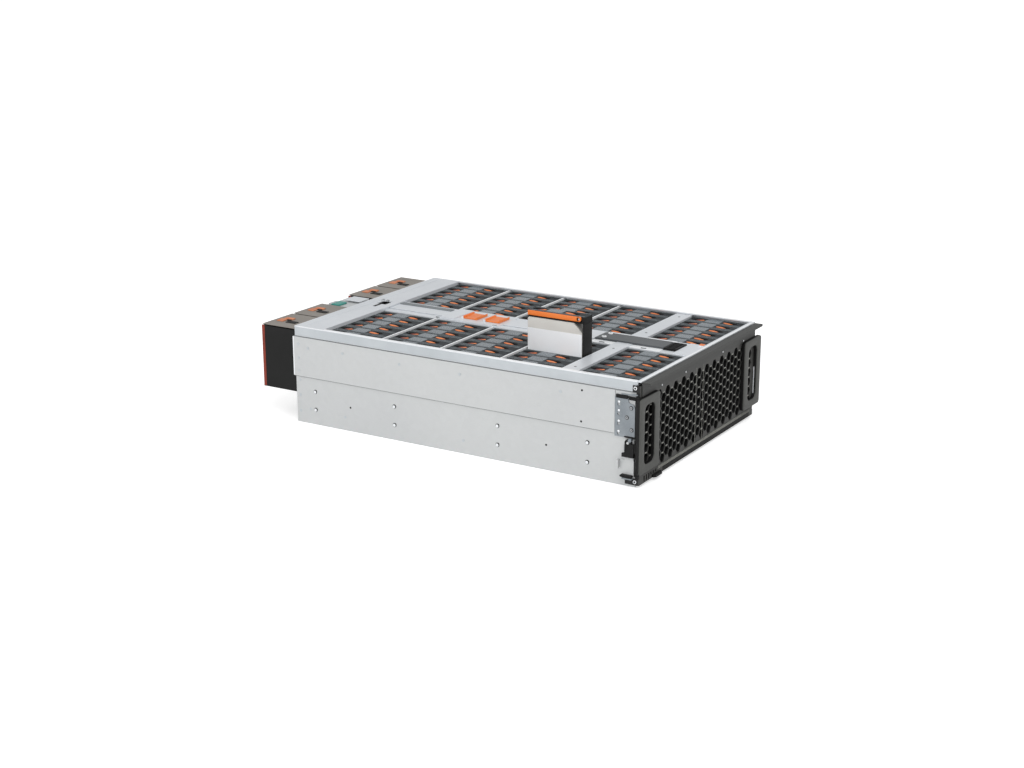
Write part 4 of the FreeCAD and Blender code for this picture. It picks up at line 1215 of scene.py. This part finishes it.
@dataclass
class RearModules:
    """Fan modules with their rotors and latches, the centre module and the low modules.

    A row of the latch holds a finish, two ends along X from the module's middle, two behind the
    bezel's face and how far it stands above the module's top, in millimetres.
    """

    latch: tuple[tuple[Finishes, float, float, float, float, float], ...] = (
        (Finishes.PEACH, -14, 2, 733, 747, 1.6), (Finishes.PEACH, 2, 12, 724, 742, 2.4),
        (Finishes.BLACK, -4, 2, 724, 733, 1.8), (Finishes.FAN_SIDE, -16, -4, 704, 726, 1.2))

    def fan(self, number: int) -> None:
        """Cover, latch and rear edge of one fan module.

        Args:
            number: the module's number, counted from the left.
        """
        dress(f"fan_{number}_shell", Finishes.FAN_SIDE, 0.5 * MM)
        dress(f"fan_{number}_rotor", Finishes.BLACK)
        low, high = corners(f"fan_{number}_shell")
        left, right, top = low[0] / MM, high[0] / MM, high[2] / MM
        middle = (left + right) / 2
        pile = Pile()
        pile.add(plate((left + 0.6, right - 0.6), (684, 756.4), (top - 0.4, top + 0.3)), Finishes.FAN_TOP)
        for finish, start, end, near, far, proud in self.latch:
            pile.add(plate((middle + start, middle + end), (near, far), (top, top + proud)), finish)
        for x in (left, right):
            pile.add(plate((x - 0.3, x + 0.3), (751, 756.9), (54, 166)), Finishes.RED)
        pile.piece(f"fan_{number}_cover", f"fan_{number}")

    def build(self) -> None:
        """Dress the rear modules and add the fan covers and latches."""
        for number in range(1, 5):
            self.fan(number)
        dress("centre_module", Finishes.SHEET, 0.4 * MM)
        pile = Pile()
        pile.add(plate((-36, -10), (722, 740), (164.5, 168.6)), Finishes.TEAL)
        pile.add(plate((0, 30), (700, 735), (167.8, 169.5)), Finishes.LIT_TOP_SHEET)
        pile.piece("centre_latch", "centre_module")
        for kind in ("power", "io"):
            for side in Side:
                dress(f"{kind}_{side.word}_module", Finishes.SHEET)


# ---------------------------------------------------------------- studio

@dataclass
class Studio:
    """Camera, soft lamps, world and floor; a lamp has a name, a place, an aim, a size and a power."""

    place: tuple[float, float, float] = (-2.489, -1.515, 0.919)
    yaw: float = 58.73
    pitch: float = -16.43
    roll: float = 0.05
    lens: float = 59.85
    ambient: float = 0.62
    floor_shade: float = 0.9
    floor_glow: float = 0.5
    floor_reach: float = 40.0
    floor_drop: float = 0.5 * MM
    lamps: tuple[tuple[str, tuple, tuple, float, float], ...] = (
        ("key", (-1.6, -1.4, 2.6), (0, 0, 0.1), 2.2, 34),
        ("side", (-3.0, 0.9, 1.3), (0, 0.1, 0.1), 2.0, 26),
        ("fill", (1.8, -2.0, 1.4), (0, 0, 0.1), 2.0, 10))

    def camera(self) -> None:
        """The viewing camera, with no shift and no depth of field."""
        data = bpy.data.cameras.new("camera")
        data.lens = self.lens
        data.sensor_width = 36.0
        camera = bpy.data.objects.new("camera", data)
        camera.location = self.place
        camera.rotation_mode = "XYZ"
        camera.rotation_euler = (math.radians(90 + self.pitch), math.radians(self.roll),
                                 -math.radians(self.yaw))
        bpy.context.collection.objects.link(camera)
        bpy.context.scene.camera = camera

    @staticmethod
    def lamp(name: str, place: tuple, aim: tuple, size: float, power: float) -> None:
        """A soft square lamp aimed at a point.

        Args:
            name: the lamp's name.
            place: where it stands.
            aim: the point it shines at.
            size: the length of its sides.
            power: its power in watts.
        """
        data = bpy.data.lights.new(name, "AREA")
        data.size = size
        data.energy = power
        made = bpy.data.objects.new(name, data)
        made.location = place
        made.rotation_euler = (Vector(aim) - Vector(place)).to_track_quat("-Z", "Y").to_euler()
        bpy.context.collection.objects.link(made)

    def world(self) -> None:
        """Even pale light that the camera itself sees as plain white."""
        world = bpy.data.worlds.new("studio")
        bpy.context.scene.world = world
        world.use_nodes = True
        tree = world.node_tree
        base = tree.nodes["Background"]
        base.inputs[0].default_value = (1, 1, 1, 1)
        base.inputs[1].default_value = self.ambient
        white = add_node(tree, "ShaderNodeBackground", {}, {0: (1, 1, 1, 1), 1: 1.0})
        path = add_node(tree, "ShaderNodeLightPath")
        mix = add_node(tree, "ShaderNodeMixShader", {},
                       {0: path.outputs["Is Camera Ray"], 1: base.outputs[0], 2: white.outputs[0]})
        tree.links.new(mix.outputs[0], tree.nodes["World Output"].inputs[0])

    def floor(self) -> None:
        """A wide floor that keeps the shadow, and glows to the camera so that it reads as white."""
        mesh = bpy.data.meshes.new("floor")
        reach = self.floor_reach
        corner_points = [(-reach, -reach, 0), (reach, -reach, 0), (reach, reach, 0), (-reach, reach, 0)]
        mesh.from_pydata(corner_points, [], [(0, 1, 2, 3)])
        material = bpy.data.materials.new("white_floor")
        material.use_nodes = True
        tree = material.node_tree
        shader = tree.nodes["Principled BSDF"]
        shader.inputs["Base Color"].default_value = (*[self.floor_shade] * 3, 1)
        shader.inputs["Roughness"].default_value = 0.9
        path = add_node(tree, "ShaderNodeLightPath")
        share = add_node(tree, "ShaderNodeMath", {"operation": "MULTIPLY"},
                         {0: path.outputs["Is Camera Ray"], 1: self.floor_glow})
        glow = add_node(tree, "ShaderNodeEmission", {}, {"Strength": share.outputs[0]})
        both = add_node(tree, "ShaderNodeAddShader", {}, {0: shader.outputs[0], 1: glow.outputs[0]})
        tree.links.new(both.outputs[0], tree.nodes["Material Output"].inputs[0])
        mesh.materials.append(material)
        made = bpy.data.objects.new("floor", mesh)
        made.location = (0, 0, -self.floor_drop)
        bpy.context.collection.objects.link(made)

    def build(self) -> None:
        """Make the camera, lamps, world and floor."""
        bpy.context.scene.view_settings.view_transform = "Standard"
        self.camera()
        self.world()
        self.floor()
        for name, place, aim, size, power in self.lamps:
            self.lamp(name, place, aim, size, power)


def main() -> None:
    """Build every sub-assembly."""
    logging.basicConfig(level=logging.INFO, format="%(name)s %(message)s")
    Studio().build()
    ShelfBody().build()
    rows = DriveRows()
    rows.build()
    RaisedDrive(rows).build()
    CentreChannel().build()
    Front().build()
    FrontCorners().build()
    RearModules().build()


if __name__ == "__main__":
    main()
